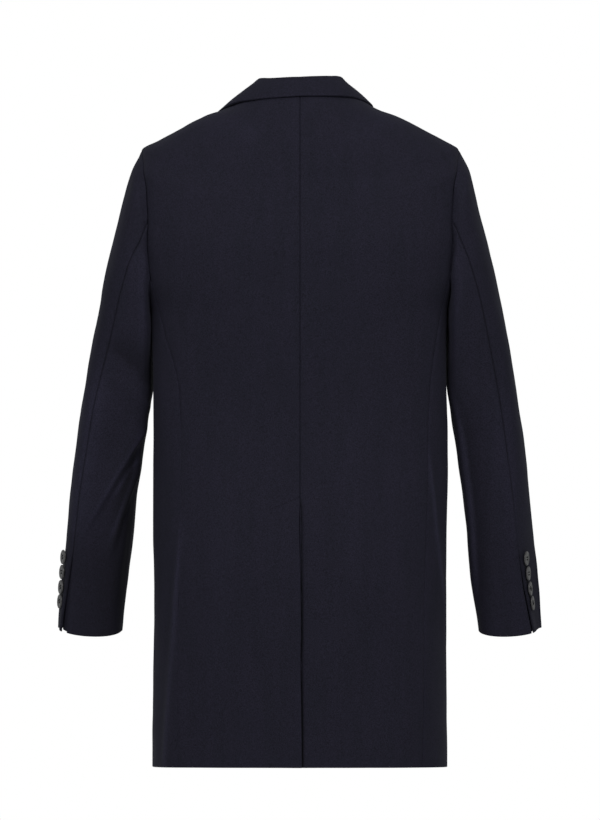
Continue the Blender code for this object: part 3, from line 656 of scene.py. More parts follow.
def shell_mesh(name, walls, painted_shading):
    """A mesh of closed walls, each between an outer and an inner grid of points, with the first one's painted
    light and shade.
    """
    points, faces, start = [], [], 0
    for outer, inner in walls:
        points += [outer.reshape(-1, 3), inner.reshape(-1, 3)]
        faces.append(shell_faces(*outer.shape[:2]) + start)
        start += 2 * outer.shape[0] * outer.shape[1]
    mesh = bpy.data.meshes.new(name)
    mesh.from_pydata(np.concatenate(points).tolist(), [], np.concatenate(faces).tolist())
    bm = bmesh.new()
    bm.from_mesh(mesh)
    bmesh.ops.recalc_face_normals(bm, faces=bm.faces[:])
    bm.to_mesh(mesh)
    bm.free()
    smooth(mesh, CLOTH_SHARP)
    # The painted light and shade is kept on the mesh as a factor for the colour, 1 on the inner side and on
    # the allowances.
    tones = np.ones(len(mesh.vertices))
    tones[:painted_shading.size] = np.ravel(painted_shading)
    mesh.attributes.new("painted_shading", "FLOAT", "POINT").data.foreach_set("value", tones)
    return mesh


def cloth_piece(name, outer, inner, material, allowances=(), painted_shading=np.ones(0)):
    """A cloth shell that stands for the node of the same name.

    The seam allowances inside it are walls of the same piece."""
    walls = [(outer, inner)] + list(allowances)
    made = new_piece("cloth_" + name, shell_mesh("cloth_" + name, walls, painted_shading), material, name)


# Wool and horn


def set_inputs(node, values):
    for key, value in values.items():
        node.inputs[key].default_value = value
    return node


def start_material(name, settings):
    """A new material, its node tree and its shader, which has the given settings."""
    material = bpy.data.materials.new(name)
    material.use_nodes = True
    shader = set_inputs(material.node_tree.nodes["Principled BSDF"], settings)
    return material, material.node_tree, shader


def add_noise(tree, scale, detail=2.0, roughness=0.5, stretch=None):
    """Noise over the piece's own place, which may be stretched."""
    place = tree.nodes.new("ShaderNodeTexCoord").outputs["Object"]
    if stretch:
        mapping = set_inputs(tree.nodes.new("ShaderNodeMapping"), {"Scale": stretch})
        tree.links.new(place, mapping.inputs["Vector"])
        place = mapping.outputs["Vector"]
    settings = {"Scale": scale, "Detail": detail, "Roughness": roughness}
    noise = set_inputs(tree.nodes.new("ShaderNodeTexNoise"), settings)
    tree.links.new(place, noise.inputs["Vector"])
    return noise.outputs["Fac"]


def add_ramp(tree, source, low, low_colour, high, high_colour):
    """A colour that changes from a low to a high value of its source."""
    node = tree.nodes.new("ShaderNodeValToRGB")
    first, last = node.color_ramp.elements
    first.position, first.color = low, (*low_colour, 1.0)
    last.position, last.color = high, (*high_colour, 1.0)
    tree.links.new(source, node.inputs["Fac"])
    return node.outputs["Color"]


def add_mix(tree, blend, factor, first, second):
    """Two colours mixed by a factor. Each of them is a value or the output of a node."""
    node = tree.nodes.new("ShaderNodeMix")
    node.data_type, node.blend_type = "RGBA", blend
    for socket, value in zip((node.inputs[0], node.inputs[6], node.inputs[7]), (factor, first, second)):
        if isinstance(value, bpy.types.NodeSocket):
            tree.links.new(value, socket)
        else:
            socket.default_value = value
    return node.outputs[2]


def wool_material():
    """Dark navy wool with a short pile: fibres of uneven tone, a fine raised grain and a soft sheen, with
    painted light and shade multiplied in.
    """
    material, tree, shader = start_material("navy_wool", {
        "Roughness": 0.88, "Specular IOR Level": 0.18, "Sheen Weight": 0.03, "Sheen Roughness": 0.55,
        "Sheen Tint": (0.62, 0.62, 0.85, 1.0)})
    mottle = add_ramp(tree, add_noise(tree, 900.0, 2.0, 0.6), 0.38, NAVY_DEEP, 0.62, NAVY_LIGHT)
    specks = add_ramp(tree, add_noise(tree, 1150.0, 2.0, 0.6), 0.60, BLACK, 0.80, WHITE)
    streak_noise = add_noise(tree, 1.0, 2.0, 0.5, stretch=(70.0, 70.0, 9.0))
    streaks = add_ramp(tree, streak_noise, 0.36, STREAK, 0.64, WHITE)
    # Painted light and shade from the creases, the seams and the vent, read from the mesh and multiplied into
    # the colour.
    painted_shading = tree.nodes.new("ShaderNodeAttribute")
    painted_shading.attribute_name = "painted_shading"
    fibres = add_mix(tree, "MIX", specks, mottle, (*NAVY_FIBRE, 1.0))
    streaked = add_mix(tree, "MULTIPLY", 1.0, fibres, streaks)
    with_painted_shading = add_mix(tree, "MULTIPLY", 1.0, streaked, painted_shading.outputs["Color"])
    tree.links.new(with_painted_shading, shader.inputs["Base Color"])
    bump = set_inputs(tree.nodes.new("ShaderNodeBump"), {"Strength": 0.22, "Distance": 0.0006})
    tree.links.new(add_noise(tree, 900.0, 3.0, 0.7), bump.inputs["Height"])
    tree.links.new(bump.outputs["Normal"], shader.inputs["Normal"])
    return material


def clouded_material(name, settings, noise, low, low_colour, high, high_colour):
    """A material whose colour drifts between two."""
    material, tree, shader = start_material(name, settings)
    tone = add_ramp(tree, add_noise(tree, *noise), low, low_colour, high, high_colour)
    tree.links.new(tone, shader.inputs["Base Color"])
    return material


def horn_material():
    """Polished dark horn with cloudy brown streaks."""
    return clouded_material("dark_horn", {"Roughness": 0.34}, (170.0, 5.0), 0.35, HORN_DEEP, 0.70, HORN_LIGHT)


def thread_material():
    """Sewing thread, darker than the cloth."""
    settings = {"Roughness": 0.9, "Specular IOR Level": 0.1}
    return clouded_material("navy_thread", settings, (2400.0,), 0.0, THREAD_DEEP, 1.0, THREAD_LIGHT)


# Body panels

SEAM_SHOW_LEFT, SEAM_SHOW_RIGHT = 0.15, 0.6
SEAM_FADE_LEVEL, SEAM_FADE = -0.47, 0.06
SEAM_ARM_FADE, SEAM_ARM_EASE = 0.6, 0.01
ARM_SHOW, ARM_SHOW_LEVEL, ARM_SHOW_EASE = 0.4, -0.272, 0.03
UNDERARM_BOW = 0.75
PANEL_WIDTH, LAPEL_HEIGHT = 0.09, 0.3
PANEL_LEVELS = np.concatenate([
    HEM + EDGE_STEPS[:-1],
    np.linspace(HEM + EDGE_STEPS[-1], SHOULDER, 212),
    np.linspace(SHOULDER, NECK, 44)[1:],
])


def hem_turn(level):
    """The hem's lower edge is a rounded fold."""
    return seam_dip(level - HEM, depth=0.0)


def body_panel(name, side, levels, girths, dips, material, out=0.0, seams=(), shade=1.0):
    """A body piece on its form: creases, unevenness and given dips, moved out by a distance."""
    points = body_points(levels, girths, side)
    normals = body_normals(levels, girths, side)
    # The creases give painted light and shade, and a given painted shade, such as the vent's shadow, darkens
    # it further.
    heights, painted_shading = crease_shapes("body", points, normals)
    rise = heights + unevenness(points, BODY_SEED)
    outer = points + normals * (rise + dips + out)[..., None]
    inner = points + normals * (rise + out - CLOTH)[..., None]
    return cloth_piece(name, outer, inner, material, allowances=seams, painted_shading=painted_shading * shade)


def body_seam(side, levels, girths):
    """The allowances of a seam down the body, with the cloth's own creases."""
    across = girths[:, None] + ALLOWANCE * np.linspace(-1, 1, 5)
    grid = np.broadcast_to(levels[:, None], across.shape)
    points, normals = body_points(grid, across, side), body_normals(grid, across, side)
    return allowance(points + normals * (body_rise(points, normals) - EDGE_ROUND)[..., None], normals)


def seam_show(levels, side):
    """How plainly a side-back seam shows: softly at the armhole, and the left one fades below the waist."""
    low = SEAM_SHOW_LEFT if side < 0 else SEAM_SHOW_RIGHT
    below = low + (1 - low) * ease((levels - SEAM_FADE_LEVEL) / SEAM_FADE)
    return below * (1 - SEAM_ARM_FADE * ease((levels - SEAM_TOP) / SEAM_ARM_EASE))


def make_back(hand, side, material):
    levels = PANEL_LEVELS
    ends = side_edges(levels, "back", side) - SEAM_GAP / 2
    cross = at_row(VENT_EDGE, "level", levels).cross
    starts = SEAM_GAP / 2 - cross * (side < 0)
    girths = spread(starts, ends, 84)
    grid = np.broadcast_to(levels[:, None], girths.shape)
    from_middle, from_side = girths - starts[:, None], ends[:, None] - girths
    vent = ease((VENT_TOP - grid) / VENT_FADE)
    dips = seam_dip(from_middle, CENTRE_DITCH_DEPTH * (1 - vent), CENTRE_DITCH_WIDTH) + hem_turn(grid)
    dips = dips + seam_dip(from_side) * seam_show(grid, side)
    dips = dips + puckers(from_middle, grid, 11) + puckers(from_side, grid, 12 + side)
    out = vent_lift(grid, np.maximum(girths, 0.0), side)
    shade = np.ones(grid.shape)
    seams = []
    if side > 0:
        dips = dips - VENT_TROUGH * vent * (1 - ease(from_middle / VENT_TROUGH_WIDTH))
        # Painted shadow in the vent's gap: the right back is darker just past the left back's edge.
        past_edge = girths - np.maximum(cross, 0.0)[:, None]
        shade = 1 - VENT_SHADE * vent * (1 - ease(past_edge / VENT_SHADE_WIDTH - VENT_SHADE_START))
        above = levels[levels > VENT_TOP]
        seams.append(body_seam(side, above, np.zeros_like(above)))
    low = levels[levels < SEAM_TOP - ALLOWANCE]
    seams.append(body_seam(side, low, side_edges(low, "back", side)))
    high = levels[levels > SHOULDER]
    seams.append(body_seam(side, high, side_edges(high, "back", side)))
    body_panel(f"back_{hand}", side, grid, girths, dips, material, out=out, seams=seams, shade=shade)


def make_vent_lap(material):
    share = np.linspace(0, 1, 24)[None, :]
    up = np.linspace(0, 1, 110)[:, None]
    levels = HEM + VENT_LAP_RISE + (VENT_TOP - VENT_SLANT * share - HEM) * up
    girths = np.broadcast_to(SEAM_GAP + VENT_LAP * share, levels.shape)
    body_panel("vent_lap", -1, levels, girths, 0.0, material, out=-CLOTH - 2 * LAYER_GAP)


def arm_show(heights):
    """How deep the armhole's seam lies: softly behind and before the arm, and flush under it."""
    return ARM_SHOW * ease((heights - ARM_SHOW_LEVEL) / ARM_SHOW_EASE)


def side_top(share):
    """The level of a side panel's top edge, which dips under the arm."""
    return SEAM_TOP - (SEAM_TOP - UNDERARM) * np.sin(np.pi * share) ** UNDERARM_BOW


def make_stitches(material):
    """The slanting row of stitches that holds the vent's lap, from its top down across the left back."""
    share = (np.arange(STITCHES) + 0.5) / STITCHES
    levels, girths = VENT_TOP - VENT_SLANT * share, VENT_LAP * share
    points, normals = body_points(levels, girths, -1), body_normals(levels, girths, -1)
    rise = body_rise(points, normals) + vent_lift(levels, girths, -1) - STITCH_SINK
    points = points + normals * rise[:, None]
    bm = bmesh.new()
    for point, way in zip(points, unit(np.gradient(points, axis=0))):
        turn = Vector(way).to_track_quat("Z", "Y").to_matrix().to_4x4()
        add_rod(bm, 8, STITCH_RADIUS, STITCH_LENGTH, Matrix.Translation(Vector(point)) @ turn)
    new_piece("vent_stitches", mesh_from(bm, "vent_stitches"), material)


def make_side(hand, side, material):
    rows = spread(HEM, SEAM_TOP, 168)
    share = closer(np.linspace(0, 1, 50), PANEL_WIDTH)
    top = side_top(share)
    levels = HEM + (rows[:, None] - HEM) * (top - HEM) / (SEAM_TOP - HEM)
    starts = side_edges(levels, "back", side) + SEAM_GAP / 2
    ends = side_edges(levels, "front", side) - SEAM_GAP / 2
    girths = starts + (ends - starts) * share
    dips = seam_dip(girths - starts) * seam_show(levels, side) + seam_dip(ends - girths) + hem_turn(levels)
    dips = dips + seam_dip(top - levels) * arm_show(levels)
    dips = dips + puckers(girths - starts, levels, 31 + side) + puckers(ends - girths, levels, 33 + side)
    low = PANEL_LEVELS[PANEL_LEVELS < SEAM_TOP - ALLOWANCE]
    seams = [body_seam(side, low, side_edges(low, "front", side))]
    body_panel(f"side_{hand}", side, levels, girths, dips, material, seams=seams)


def make_front(hand, side, material):
    levels = PANEL_LEVELS
    starts = side_edges(levels, "front", side) + SEAM_GAP / 2
    ends = front_edge(levels)
    girths = spread(starts, ends, 60)
    grid = np.broadcast_to(levels[:, None], girths.shape)
    dips = seam_dip(girths - starts[:, None]) + seam_dip(ends[:, None] - girths, depth=0.0) + hem_turn(grid)
    dips = dips + puckers(girths - starts[:, None], grid, 41 + side)
    out = overlap_lift(grid, girths, side)
    body_panel(f"front_{hand}", side, grid, girths, dips, material, out=out)


def lapel_start(side):
    """The level where a lapel begins: the right one comes out from under the left front where they cross."""
    if side < 0:
        return ROLL_START
    levels = np.linspace(ROLL_START, SHOULDER, 100)
    return float(np.interp(LAPEL[0].width, whole_girth(levels) - front_edge(levels), levels))


def make_lapel(hand, side, material):
    start = lapel_start(side)
    up = closer(np.linspace(0, 1, 90), LAPEL_HEIGHT, both=False)[:, None]
    share = closer(np.linspace(0, 1, 36), PANEL_WIDTH)[None, :]
    top = LAPEL_GORGE_LEVEL + (LAPEL_TIP_LEVEL - LAPEL_GORGE_LEVEL) * share
    levels = start + (top - start) * up
    width = at_row(LAPEL, "share", up).width
    girths = front_edge(levels) - SEAM_GAP - width * share
    roll = LAPEL_LIFT * np.sin(np.pi * np.minimum(1.0, 0.25 + 0.75 * share)) * up
    out = overlap_lift(levels, girths, side) + CLOTH + LAPEL_GAP + roll
    dips = seam_dip(width * (1 - share), depth=0.0) + seam_dip(top - levels, depth=0.0)
    body_panel(f"lapel_{hand}", side, levels, girths, dips, material, out=out)


# Collar


def collar_line(turn, side):
    """The collar at one station, as a line of points from neckline over the fold to its outer edge."""
    _, fold_in, fold_rise, edge_level = (float(value) for value in at_row(COLLAR, "turn", turn))
    mirror = np.array([side, 1.0, 1.0])
    foot = section_points(NECK, np.array(turn)) * mirror + np.array([0, 0, LAYER_GAP])
    nearby = section_points(NECK, np.array([turn - 1, turn + 1])) * mirror
    along = np.array([side, 0.0, 0.0]) if turn < 1 else unit(nearby[1] - nearby[0])
    upwards = np.array([0.0, 0.0, 1.0])
    upwards = unit(upwards - along * (along @ upwards))
    outwards = np.cross(along, upwards) * side
    behind = max(0.0, math.cos(math.radians(turn)))
    fold = foot - outwards * fold_in + upwards * (fold_rise + FOLD_LEAN * foot[0] * behind)
    edge_level += EDGE_LEAN * foot[0]
    girth = np.array(np.interp(turn, TURNS, section_line(edge_level)[1]))
    level = np.array(edge_level)
    edge = body_points(level, girth, side) + body_normals(level, girth, side) * COLLAR_STAND_OFF
    swings = np.radians(np.linspace(*FOLD_SWING, 15))[:, None]
    middle = fold - upwards * FOLD_RADIUS
    rolled = middle + FOLD_RADIUS * (outwards * np.sin(swings) + upwards * np.cos(swings))
    stand = foot + (rolled[0] - foot) * np.linspace(0, 1, 9)[:-1, None]
    fall_length = np.linalg.norm(edge - rolled[-1])
    shares = closer(np.linspace(0, 1, 22)[1:], fall_length, both=False)[:, None]
    bow = np.sin(np.pi * shares)
    fall = rolled[-1] + (edge - rolled[-1]) * shares + (upwards * FALL_BOW_UP + outwards * FALL_BOW_OUT) * bow
    return np.concatenate([stand, rolled, fall])


def make_collar(material):
    last = COLLAR[-1].turn
    extra = last - COLLAR_END_TURNS
    turns = np.sort(np.concatenate([np.linspace(-last, last, 150), extra, -extra]))
    lines = np.array([collar_line(abs(turn), 1 if turn >= 0 else -1) for turn in turns])
    normals = unit(np.cross(np.gradient(lines, axis=1), np.gradient(lines, axis=0)))
    to_edge = np.linalg.norm(lines - lines[:, -1:], axis=-1)
    to_end = np.radians(last - np.abs(turns))[:, None] * COLLAR_RADIUS
    dips = seam_dip(to_edge, depth=0.0) + seam_dip(to_end, depth=0.0)
    outer = lines + normals * (dips + unevenness(lines, COLLAR_SEED) * COLLAR_SWELL)[..., None]
    cloth_piece("collar", outer, lines - normals * COLLAR_CLOTH, material)


# Sleeves

SLEEVE_ROWS = closer(np.concatenate([
    [0.0, 0.015, 0.035, 0.06], np.linspace(0.09, 0.95, 22), np.linspace(1.0, 4.25, 54),
    np.linspace(4.3, 7.2, 104), np.linspace(7.25, CUFF_ROW, 34)]), ROW_PITCH, both=False)


def side_place(share, side):
    """Level and girth of the side panel's top edge, under the arm."""
    level = side_top(share)
    start, end = side_edges(level, "back", side), side_edges(level, "front", side)
    return level, start + (end - start) * share


def armhole_places(columns, side):
    """Level and girth of the armhole's edge at each sleeve column."""
    levels, girths = np.zeros(len(columns)), np.zeros(len(columns))
    edge_levels = column(ARM_EDGE, "level")
    behind, before = column(ARM_EDGE, "behind"), column(ARM_EDGE, "before")
    for n, c in enumerate(columns % COLUMNS):
        if c <= behind[-1]:
            levels[n] = np.interp(c, behind, edge_levels)
            girths[n] = side_edge(float(levels[n]), "back", side) + SEAM_GAP
        elif c >= before[-1]:
            levels[n] = np.interp(c, before[::-1], edge_levels[::-1])
            girths[n] = side_edge(float(levels[n]), "front", side) - SEAM_GAP
        else:
            share = (c - behind[-1]) / (before[-1] - behind[-1])
            level, girth = side_place(np.array(share), side)
            levels[n], girths[n] = level + SEAM_GAP, girth + (1 - 2 * share) * SEAM_GAP
    return levels, girths


def ring_turns(columns, elbow_turn):
    """The turn of sleeve columns on a ring: 0 at the outer point, -180 at the inner point behind."""
    marks = [0.0, ELBOW_COLUMN, UNDERARM_COLUMN, FRONT_COLUMN, COLUMNS]
    turns = [0.0, -elbow_turn, -180.0, FRONT_SEAM_TURN - 360.0, -360.0]
    return np.interp(columns % COLUMNS, marks, turns)


def oval_points(ring, turns, side):
    """Points of a sleeve ring, a squared oval from its outer to its inner point."""
    cosine, sine = np.cos(np.radians(turns)), np.sin(np.radians(turns))
    power = np.where(sine > 0, FRONT_SQUARENESS, ring.squareness)
    deep = np.maximum(0.0, 1 - np.abs(cosine) ** power) ** (1 / power)
    outer = np.array([ring.outer_x, 0.0, ring.outer_z])
    inner = np.array([ring.inner_x, 0.0, ring.inner_z])
    points = (outer + inner) / 2 + (outer - inner) / 2 * cosine[:, None]
    points[:, 0] -= ring.front_tuck * 2 * np.maximum(0.0, sine) * np.maximum(0.0, -cosine)
    points[:, 1] = ring.middle_y + ring.half_depth * np.sign(sine) * deep
    points[:, 2] -= ring.back_drop * np.maximum(0.0, -sine)
    return points * np.array([side, 1.0, 1.0])


def ring_points(ring, turns, elbow_turn, side):
    """Points of a sleeve ring, with the right sleeve's flat press near the cuff."""
    points = oval_points(ring, turns, side)
    share = -turns / elbow_turn
    pressed = np.where((share > 0) & (share < 1), ring.flat_right * (side > 0), 0.0)[:, None]
    ends = oval_points(ring, np.array([0.0, -elbow_turn]), side)
    flat = ends[0] * (1 - share[:, None]) + ends[1] * share[:, None]
    return points + (flat - points) * pressed


def elbow_turns(side):
    return column(RINGS, "elbow_right" if side > 0 else "elbow_left")


def sleeve_points(rows, columns, side):
    """The smooth sleeve form at rows and columns, as a grid."""
    levels, girths = armhole_places(columns, side)
    loop = body_points(levels, girths, side)
    elbows = zip(RINGS, elbow_turns(side))
    rings = [ring_points(ring, ring_turns(columns, turn), turn, side) for ring, turn in elbows]
    return through(np.arange(len(rings) + 1.0), np.array([loop] + rings), rows)


def sleeve_turns(rows, columns, side):
    """The turn of each sleeve place from the elbow seam, towards the outer side."""
    turns = elbow_turns(side)
    table = np.array([ring_turns(columns, turn) + turn for turn in np.append(turns[:1], turns)])
    return through(np.arange(len(table), dtype=float), table, rows)


def sleeve_normals(rows, columns, side):
    """Normals of the smooth form, from its own neighbours beyond the grid's edges."""
    before, after = columns - SLEEVE_STEP, columns + SLEEVE_STEP
    around = sleeve_points(rows, before, side) - sleeve_points(rows, after, side)
    low, high = np.maximum(rows - SLEEVE_STEP, 0.0), np.minimum(rows + SLEEVE_STEP, CUFF_ROW)
    down = sleeve_points(high, columns, side) - sleeve_points(low, columns, side)
    return unit(np.cross(down, around) * side)


def sleeve_rise(rows, points, normals, side):
    """How far a sleeve's cloth stands out: as the body's at the armhole, then by its own creases."""
    own = crease_shapes("sleeve", points, normals)[0] + unevenness(points, SLEEVE_SEED + side)
    share = ease(rows / ARM_BLEND_ROWS)[:, None]
    return body_rise(points, normals) * (1 - share) + own * share


def cuff_lift(rows, turns):
    """How far the upper sleeve stands out over the lap of its open vent, at turns from the vent's edge."""
    return CUFF_LIFT * ease((rows - CUFF_VENT_ROW) / CUFF_LIFT_ROWS) * ease(1 - turns / CUFF_EASE_TURN)


def make_sleeve_panel(kind, hand, side, first, last, material):
    """The columns of a sleeve from first to last, which may run on past the shoulder."""
    upper = kind == "upper"
    gap = SEAM_GAP / 2 / COLUMN_PITCH
    columns = closer(np.linspace(first + gap, last - gap, 92 if upper else 78), COLUMN_PITCH)
    rows = SLEEVE_ROWS
    points = sleeve_points(rows, columns, side)
    normals = sleeve_normals(rows, columns, side)
    pitch = np.linalg.norm(np.gradient(points, axis=1), axis=-1) / np.gradient(columns)
    from_first, from_last = (columns - first) * pitch, (last - columns) * pitch
    from_elbow, from_front = (from_last, from_first) if upper else (from_first, from_last)
    grid_rows = np.broadcast_to(rows[:, None], points.shape[:2])
    to_arm = np.cumsum(np.linalg.norm(np.diff(points, axis=0, prepend=points[:1]), axis=-1), axis=0)
    to_cuff = to_arm[-1:] - to_arm
    vent = ease((grid_rows - CUFF_VENT_ROW) / CUFF_VENT_EASE)
    dips = seam_dip(from_elbow, depth=DITCH_DEPTH * (1 - CUFF_VENT_FLAT * vent)) + seam_dip(from_front)
    dips = dips + seam_dip(to_arm) * arm_show(points[..., 2]) + seam_dip(to_cuff, depth=0.0)
    dips = dips + puckers(from_elbow, -points[..., 2], 71 + side)
    dips = dips + puckers(to_arm, columns * COLUMN_PITCH, 73 + side, rise=ARM_PUCKER_RISE)
    rise = sleeve_rise(rows, points, normals, side)
    seams = [armhole_seam(side, columns)]
    if upper:
        rise = rise + cuff_lift(grid_rows, sleeve_turns(rows, columns, side))
        gape = CUFF_GAPE[hand] * ease((grid_rows - CUFF_VENT_ROW) / (CUFF_ROW - CUFF_VENT_ROW))
        around = unit(np.gradient(points, axis=1))
        points = points - around * (gape * ease(1 - from_elbow / CUFF_GAPE_REACH))[..., None]
        elbow = sleeve_seam(side, np.linspace(SEAM_START_ROW, CUFF_VENT_ROW, 90), ELBOW_COLUMN)
        front = sleeve_seam(side, np.linspace(SEAM_START_ROW, CUFF_END_ROW, 110), FRONT_COLUMN)
        seams = [elbow, front] + seams
    outer = points + normals * (rise + dips)[..., None]
    inner = points + normals * (rise - CLOTH)[..., None]
    inner[0] = outer[0] - normals[0] * CLOTH / 2
    # Painted light and shade from the sleeve's creases, and painted shade along the elbow seam
    painted_shading = crease_shapes("sleeve", points, normals)[1]
    painted_shading = painted_shading * (1 - ELBOW_SHADE * np.exp(-((from_elbow / ELBOW_SHADE_WIDTH) ** 2)))
    cloth_piece(f"sleeve_{kind}_{hand}", outer, inner, material, allowances=seams, painted_shading=painted_shading)


def sleeve_seam(side, rows, middle):
    """The allowances of a seam down a sleeve."""
    columns = middle + SEAM_COLUMNS * np.linspace(-1, 1, 5)
    points = sleeve_points(rows, columns, side)
    normals = sleeve_normals(rows, columns, side)
    rise = sleeve_rise(rows, points, normals, side) - EDGE_ROUND
    return allowance(points + normals * rise[..., None], normals)


def armhole_seam(side, columns):
    """The armhole's allowance: from inside the body panels, round the seam, to inside the sleeve."""
    levels, girths = armhole_places(columns, side)
    edge = body_points(levels, girths, side)
    normals = body_normals(levels, girths, side)
    sleeve = sleeve_points(ARM_SEAM_ROWS, columns, side)
    sleeve_out = sleeve_normals(ARM_SEAM_ROWS, columns, side)
    into_body = unit(np.cross(np.gradient(edge, axis=0), normals)) * side
    body_side = np.array([edge + into_body * reach for reach in (ALLOWANCE, ALLOWANCE / 2, 0.0)])
    turned_out = unit(normals + sleeve_out[0])
    outwards = np.concatenate([np.array([normals, normals, turned_out]), sleeve_out[1:]])
    points = np.concatenate([body_side, sleeve[1:]])
    return allowance(points - outwards * EDGE_ROUND, outwards)


def sleeve_spot(row, turn_from_elbow, side):
    """Point and normal of a sleeve at a row and at a turn from its elbow seam towards the outer side."""
    columns = np.linspace(-6.0, ELBOW_COLUMN, 120)
    rows = np.array([row])
    turns = sleeve_turns(rows, columns, side)[0]
    turns = np.where(turns < -90, turns + 360, turns)
    order = np.argsort(turns)
    at = np.array([np.interp(turn_from_elbow, turns[order], columns[order])])
    return sleeve_points(rows, at, side)[0, 0], sleeve_normals(rows, at, side)[0, 0]


def make_cuff_lap(hand, side, material):
    rows = np.linspace(CUFF_VENT_ROW, CUFF_END_ROW, 34)
    turns = np.linspace(CUFF_LAP_START, CUFF_LAP_TURN, 14)
    spots = np.array([[sleeve_spot(row, turn, side) for turn in turns] for row in rows])
    points, normals = spots[:, :, 0], spots[:, :, 1]
    outer = points - normals * (CLOTH + LAYER_GAP)
    cloth_piece(f"cuff_lap_{hand}", outer, outer - normals * CLOTH, material)


# Buttons


def button_mesh():
    """A four-hole button of diameter 1 with a rounded rim round a dished middle."""
    bm = bmesh.new()
    verts = [bm.verts.new((point.radius, 0.0, point.height * BUTTON_THICK)) for point in BUTTON_PROFILE]
    edges = [bm.edges.new(pair) for pair in zip(verts, verts[1:])]
    bmesh.ops.spin(bm, geom=verts + edges, cent=(0, 0, 0), axis=(0, 0, 1), angle=2 * math.pi, steps=48)
    bmesh.ops.remove_doubles(bm, verts=bm.verts[:], dist=WELD)
    bmesh.ops.recalc_face_normals(bm, faces=bm.faces[:])
    holes = bmesh.new()
    for x in HOLE_PLACES:
        for y in HOLE_PLACES:
            add_rod(holes, 14, HOLE_RADIUS, 1.0, Matrix.Translation((x, y, 0.0)))
    blank = bpy.data.objects.new("blank", mesh_from(bm, "button_body"))
    cutter = bpy.data.objects.new("cutter", mesh_from(holes, "button_holes"))
    for made in (blank, cutter):
        bpy.context.scene.collection.objects.link(made)
    blank.modifiers.new("holes", "BOOLEAN").object = cutter
    graph = bpy.context.evaluated_depsgraph_get()
    mesh = bpy.data.meshes.new_from_object(blank.evaluated_get(graph))
    for made in (blank, cutter):
        bpy.data.objects.remove(made)
    return smooth(mesh, BUTTON_SHARP)


def thread_mesh():
    """Two bars of thread across the holes of a button of diameter 1, and the shank under it."""
    bm = bmesh.new()
    for y in HOLE_PLACES:
        for strand in range(STRANDS):
            aside = y + (strand - (STRANDS - 1) / 2) * STRAND_PITCH
            place = Matrix.Translation((0.0, aside, BUTTON_THICK * STRAND_HEIGHT))
            add_rod(bm, 8, STRAND_RADIUS, STRAND_LENGTH, place @ Matrix.Rotation(math.radians(90), 4, "Y"))
    add_rod(bm, 16, SHANK_FOOT, SHANK_LENGTH, Matrix.Translation((0.0, 0.0, SHANK_DROP)), SHANK_TOP)
    return smooth(mesh_from(bm, "button_thread"), THREAD_SHARP)


def place_button(node, diameter, point, normal, spin, meshes, materials):
    """A detailed button where the plain one sits, with its thread."""
    seat = Matrix.Translation(Vector(point + normal * BUTTON_SHANK))
    turn = Vector(normal).to_track_quat("Z", "Y").to_matrix().to_4x4() @ Matrix.Rotation(spin, 4, "Z")
    size = Matrix.Diagonal((diameter, diameter, (CUFF_BUTTON + diameter) / 2, 1.0))
    button, thread = (mesh.copy() for mesh in meshes)
    for mesh in (button, thread):
        mesh.transform(seat @ turn @ size)
    horn, ply = materials
    new_piece(f"button_{node}", button, horn, node)
    new_piece(f"thread_{node}", thread, ply)


def make_buttons(horn, thread):
    meshes, materials = (button_mesh(), thread_mesh()), (horn, thread)
    rng = np.random.default_rng(BUTTON_SEED)
    for number, level in enumerate(FRONT_BUTTON_LEVELS, 1):
        at, middle = np.array(level), whole_girth(np.array(level))
        normal = body_normals(at, middle, -1)
        seat = body_points(at, middle, -1) + normal * overlap_lift(at, middle, -1)
        spin = rng.uniform(0, FRONT_SPIN)
        place_button(f"front_button_{number}", FRONT_BUTTON, seat, normal, spin, meshes, materials)
    for hand, side in (("left", -1), ("right", 1)):
        for number, row in enumerate(CUFF_BUTTON_ROWS, 1):
            inset = CUFF_BUTTON_INSET[hand]
            point, normal = sleeve_spot(row, inset, side)
            lean = Matrix.Rotation(math.radians(CUFF_BUTTON_LEAN[hand]), 3, "Z")
            normal = np.array(lean @ Vector(normal))
            seat = point + normal * cuff_lift(row, inset)
            spin = rng.uniform(0, CUFF_SPIN)
            place_button(f"cuff_button_{hand}_{number}", CUFF_BUTTON, seat, normal, spin, meshes, materials)


# Stage, light and camera

PIXEL = 0.00137
FRAME_HIGH, ORIGIN_DOWN = 820, 104
MIDDLE_Z = (ORIGIN_DOWN - FRAME_HIGH / 2) * PIXEL
LENS = 1200.0
SENSOR = 36.0
CLIP_BEYOND = 20
FLOOR_Z, FLOOR_SIZE = -1.35, 14.0
FLOOR_COLOUR = (0.86, 0.86, 0.86, 1.0)
ROOM_LIGHT = 0.22
ROOM_COLOUR = (0.95, 1.0, 0.99, 1.0)
LIGHTS = table(
    "name place aim size power",
    ("key", (-1.0, -3.0, 1.9), (0, 0, -0.35), (1.6, 1.6), 44),
    ("fill", (1.1, -3.0, 1.8), (0, 0, -0.35), (1.6, 1.6), 38),
    ("top", (0, -0.5, 2.2), (0, 0, 0), (1.6, 0.8), 4),
    ("rim_left", (-1.5, 1.6, -0.2), (0, 0, -0.5), (0.8, 1.8), 1.5),
    ("rim_right", (1.5, 1.6, -0.2), (0, 0, -0.5), (0.8, 1.8), 1.2),
)


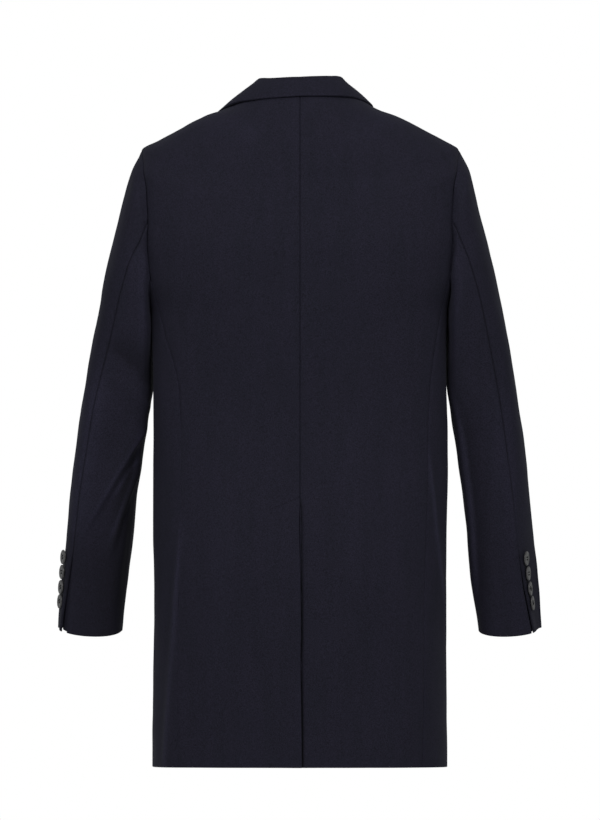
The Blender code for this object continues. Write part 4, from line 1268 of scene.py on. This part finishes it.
def make_stage():
    bpy.ops.mesh.primitive_plane_add(size=FLOOR_SIZE, location=(0, 0, FLOOR_Z))
    floor = bpy.context.object
    floor.name = "floor"
    pale, _, _ = start_material("pale_floor", {"Base Color": FLOOR_COLOUR, "Roughness": 0.9})
    floor.data.materials.append(pale)
    world = bpy.data.worlds.new("studio")
    bpy.context.scene.world = world
    world.use_nodes = True
    nodes, links = world.node_tree.nodes, world.node_tree.links
    room = set_inputs(nodes["Background"], {"Color": ROOM_COLOUR, "Strength": ROOM_LIGHT})
    backdrop = set_inputs(nodes.new("ShaderNodeBackground"), {"Color": (*WHITE, 1.0)})
    seen, mix = nodes.new("ShaderNodeLightPath"), nodes.new("ShaderNodeMixShader")
    links.new(seen.outputs["Is Camera Ray"], mix.inputs["Fac"])
    links.new(room.outputs["Background"], mix.inputs[1])
    links.new(backdrop.outputs["Background"], mix.inputs[2])
    links.new(mix.outputs["Shader"], nodes["World Output"].inputs["Surface"])


def add_light(light):
    lamp = bpy.data.lights.new(light.name, "AREA")
    lamp.shape = "RECTANGLE"
    lamp.size, lamp.size_y = light.size
    lamp.energy = light.power
    made = bpy.data.objects.new(light.name, lamp)
    made.location = light.place
    made.rotation_euler = (Vector(light.aim) - Vector(light.place)).to_track_quat("-Z", "Y").to_euler()
    bpy.context.scene.collection.objects.link(made)


def make_camera():
    lens = bpy.data.cameras.new("camera")
    lens.sensor_width = SENSOR
    lens.lens = LENS
    distance = LENS * FRAME_HIGH * PIXEL / SENSOR
    lens.clip_end = distance + CLIP_BEYOND
    camera = bpy.data.objects.new("camera", lens)
    camera.location = (0.0, -distance, MIDDLE_Z)
    camera.rotation_euler = (math.radians(90), 0, 0)
    bpy.context.scene.collection.objects.link(camera)
    bpy.context.scene.camera = camera


def main():
    make_stage()
    make_camera()
    for light in LIGHTS:
        add_light(light)
    bpy.context.scene.view_settings.view_transform = "Standard"
    wool, horn, thread = wool_material(), horn_material(), thread_material()
    for hand, side in (("left", -1), ("right", 1)):
        for make in (make_back, make_side, make_front, make_lapel):
            make(hand, side, wool)
        make_sleeve_panel("upper", hand, side, FRONT_COLUMN, COLUMNS + ELBOW_COLUMN, wool)
        make_sleeve_panel("under", hand, side, ELBOW_COLUMN, FRONT_COLUMN, wool)
        make_cuff_lap(hand, side, wool)
    make_vent_lap(wool)
    make_stitches(thread)
    make_collar(wool)
    make_buttons(horn, thread)


main()
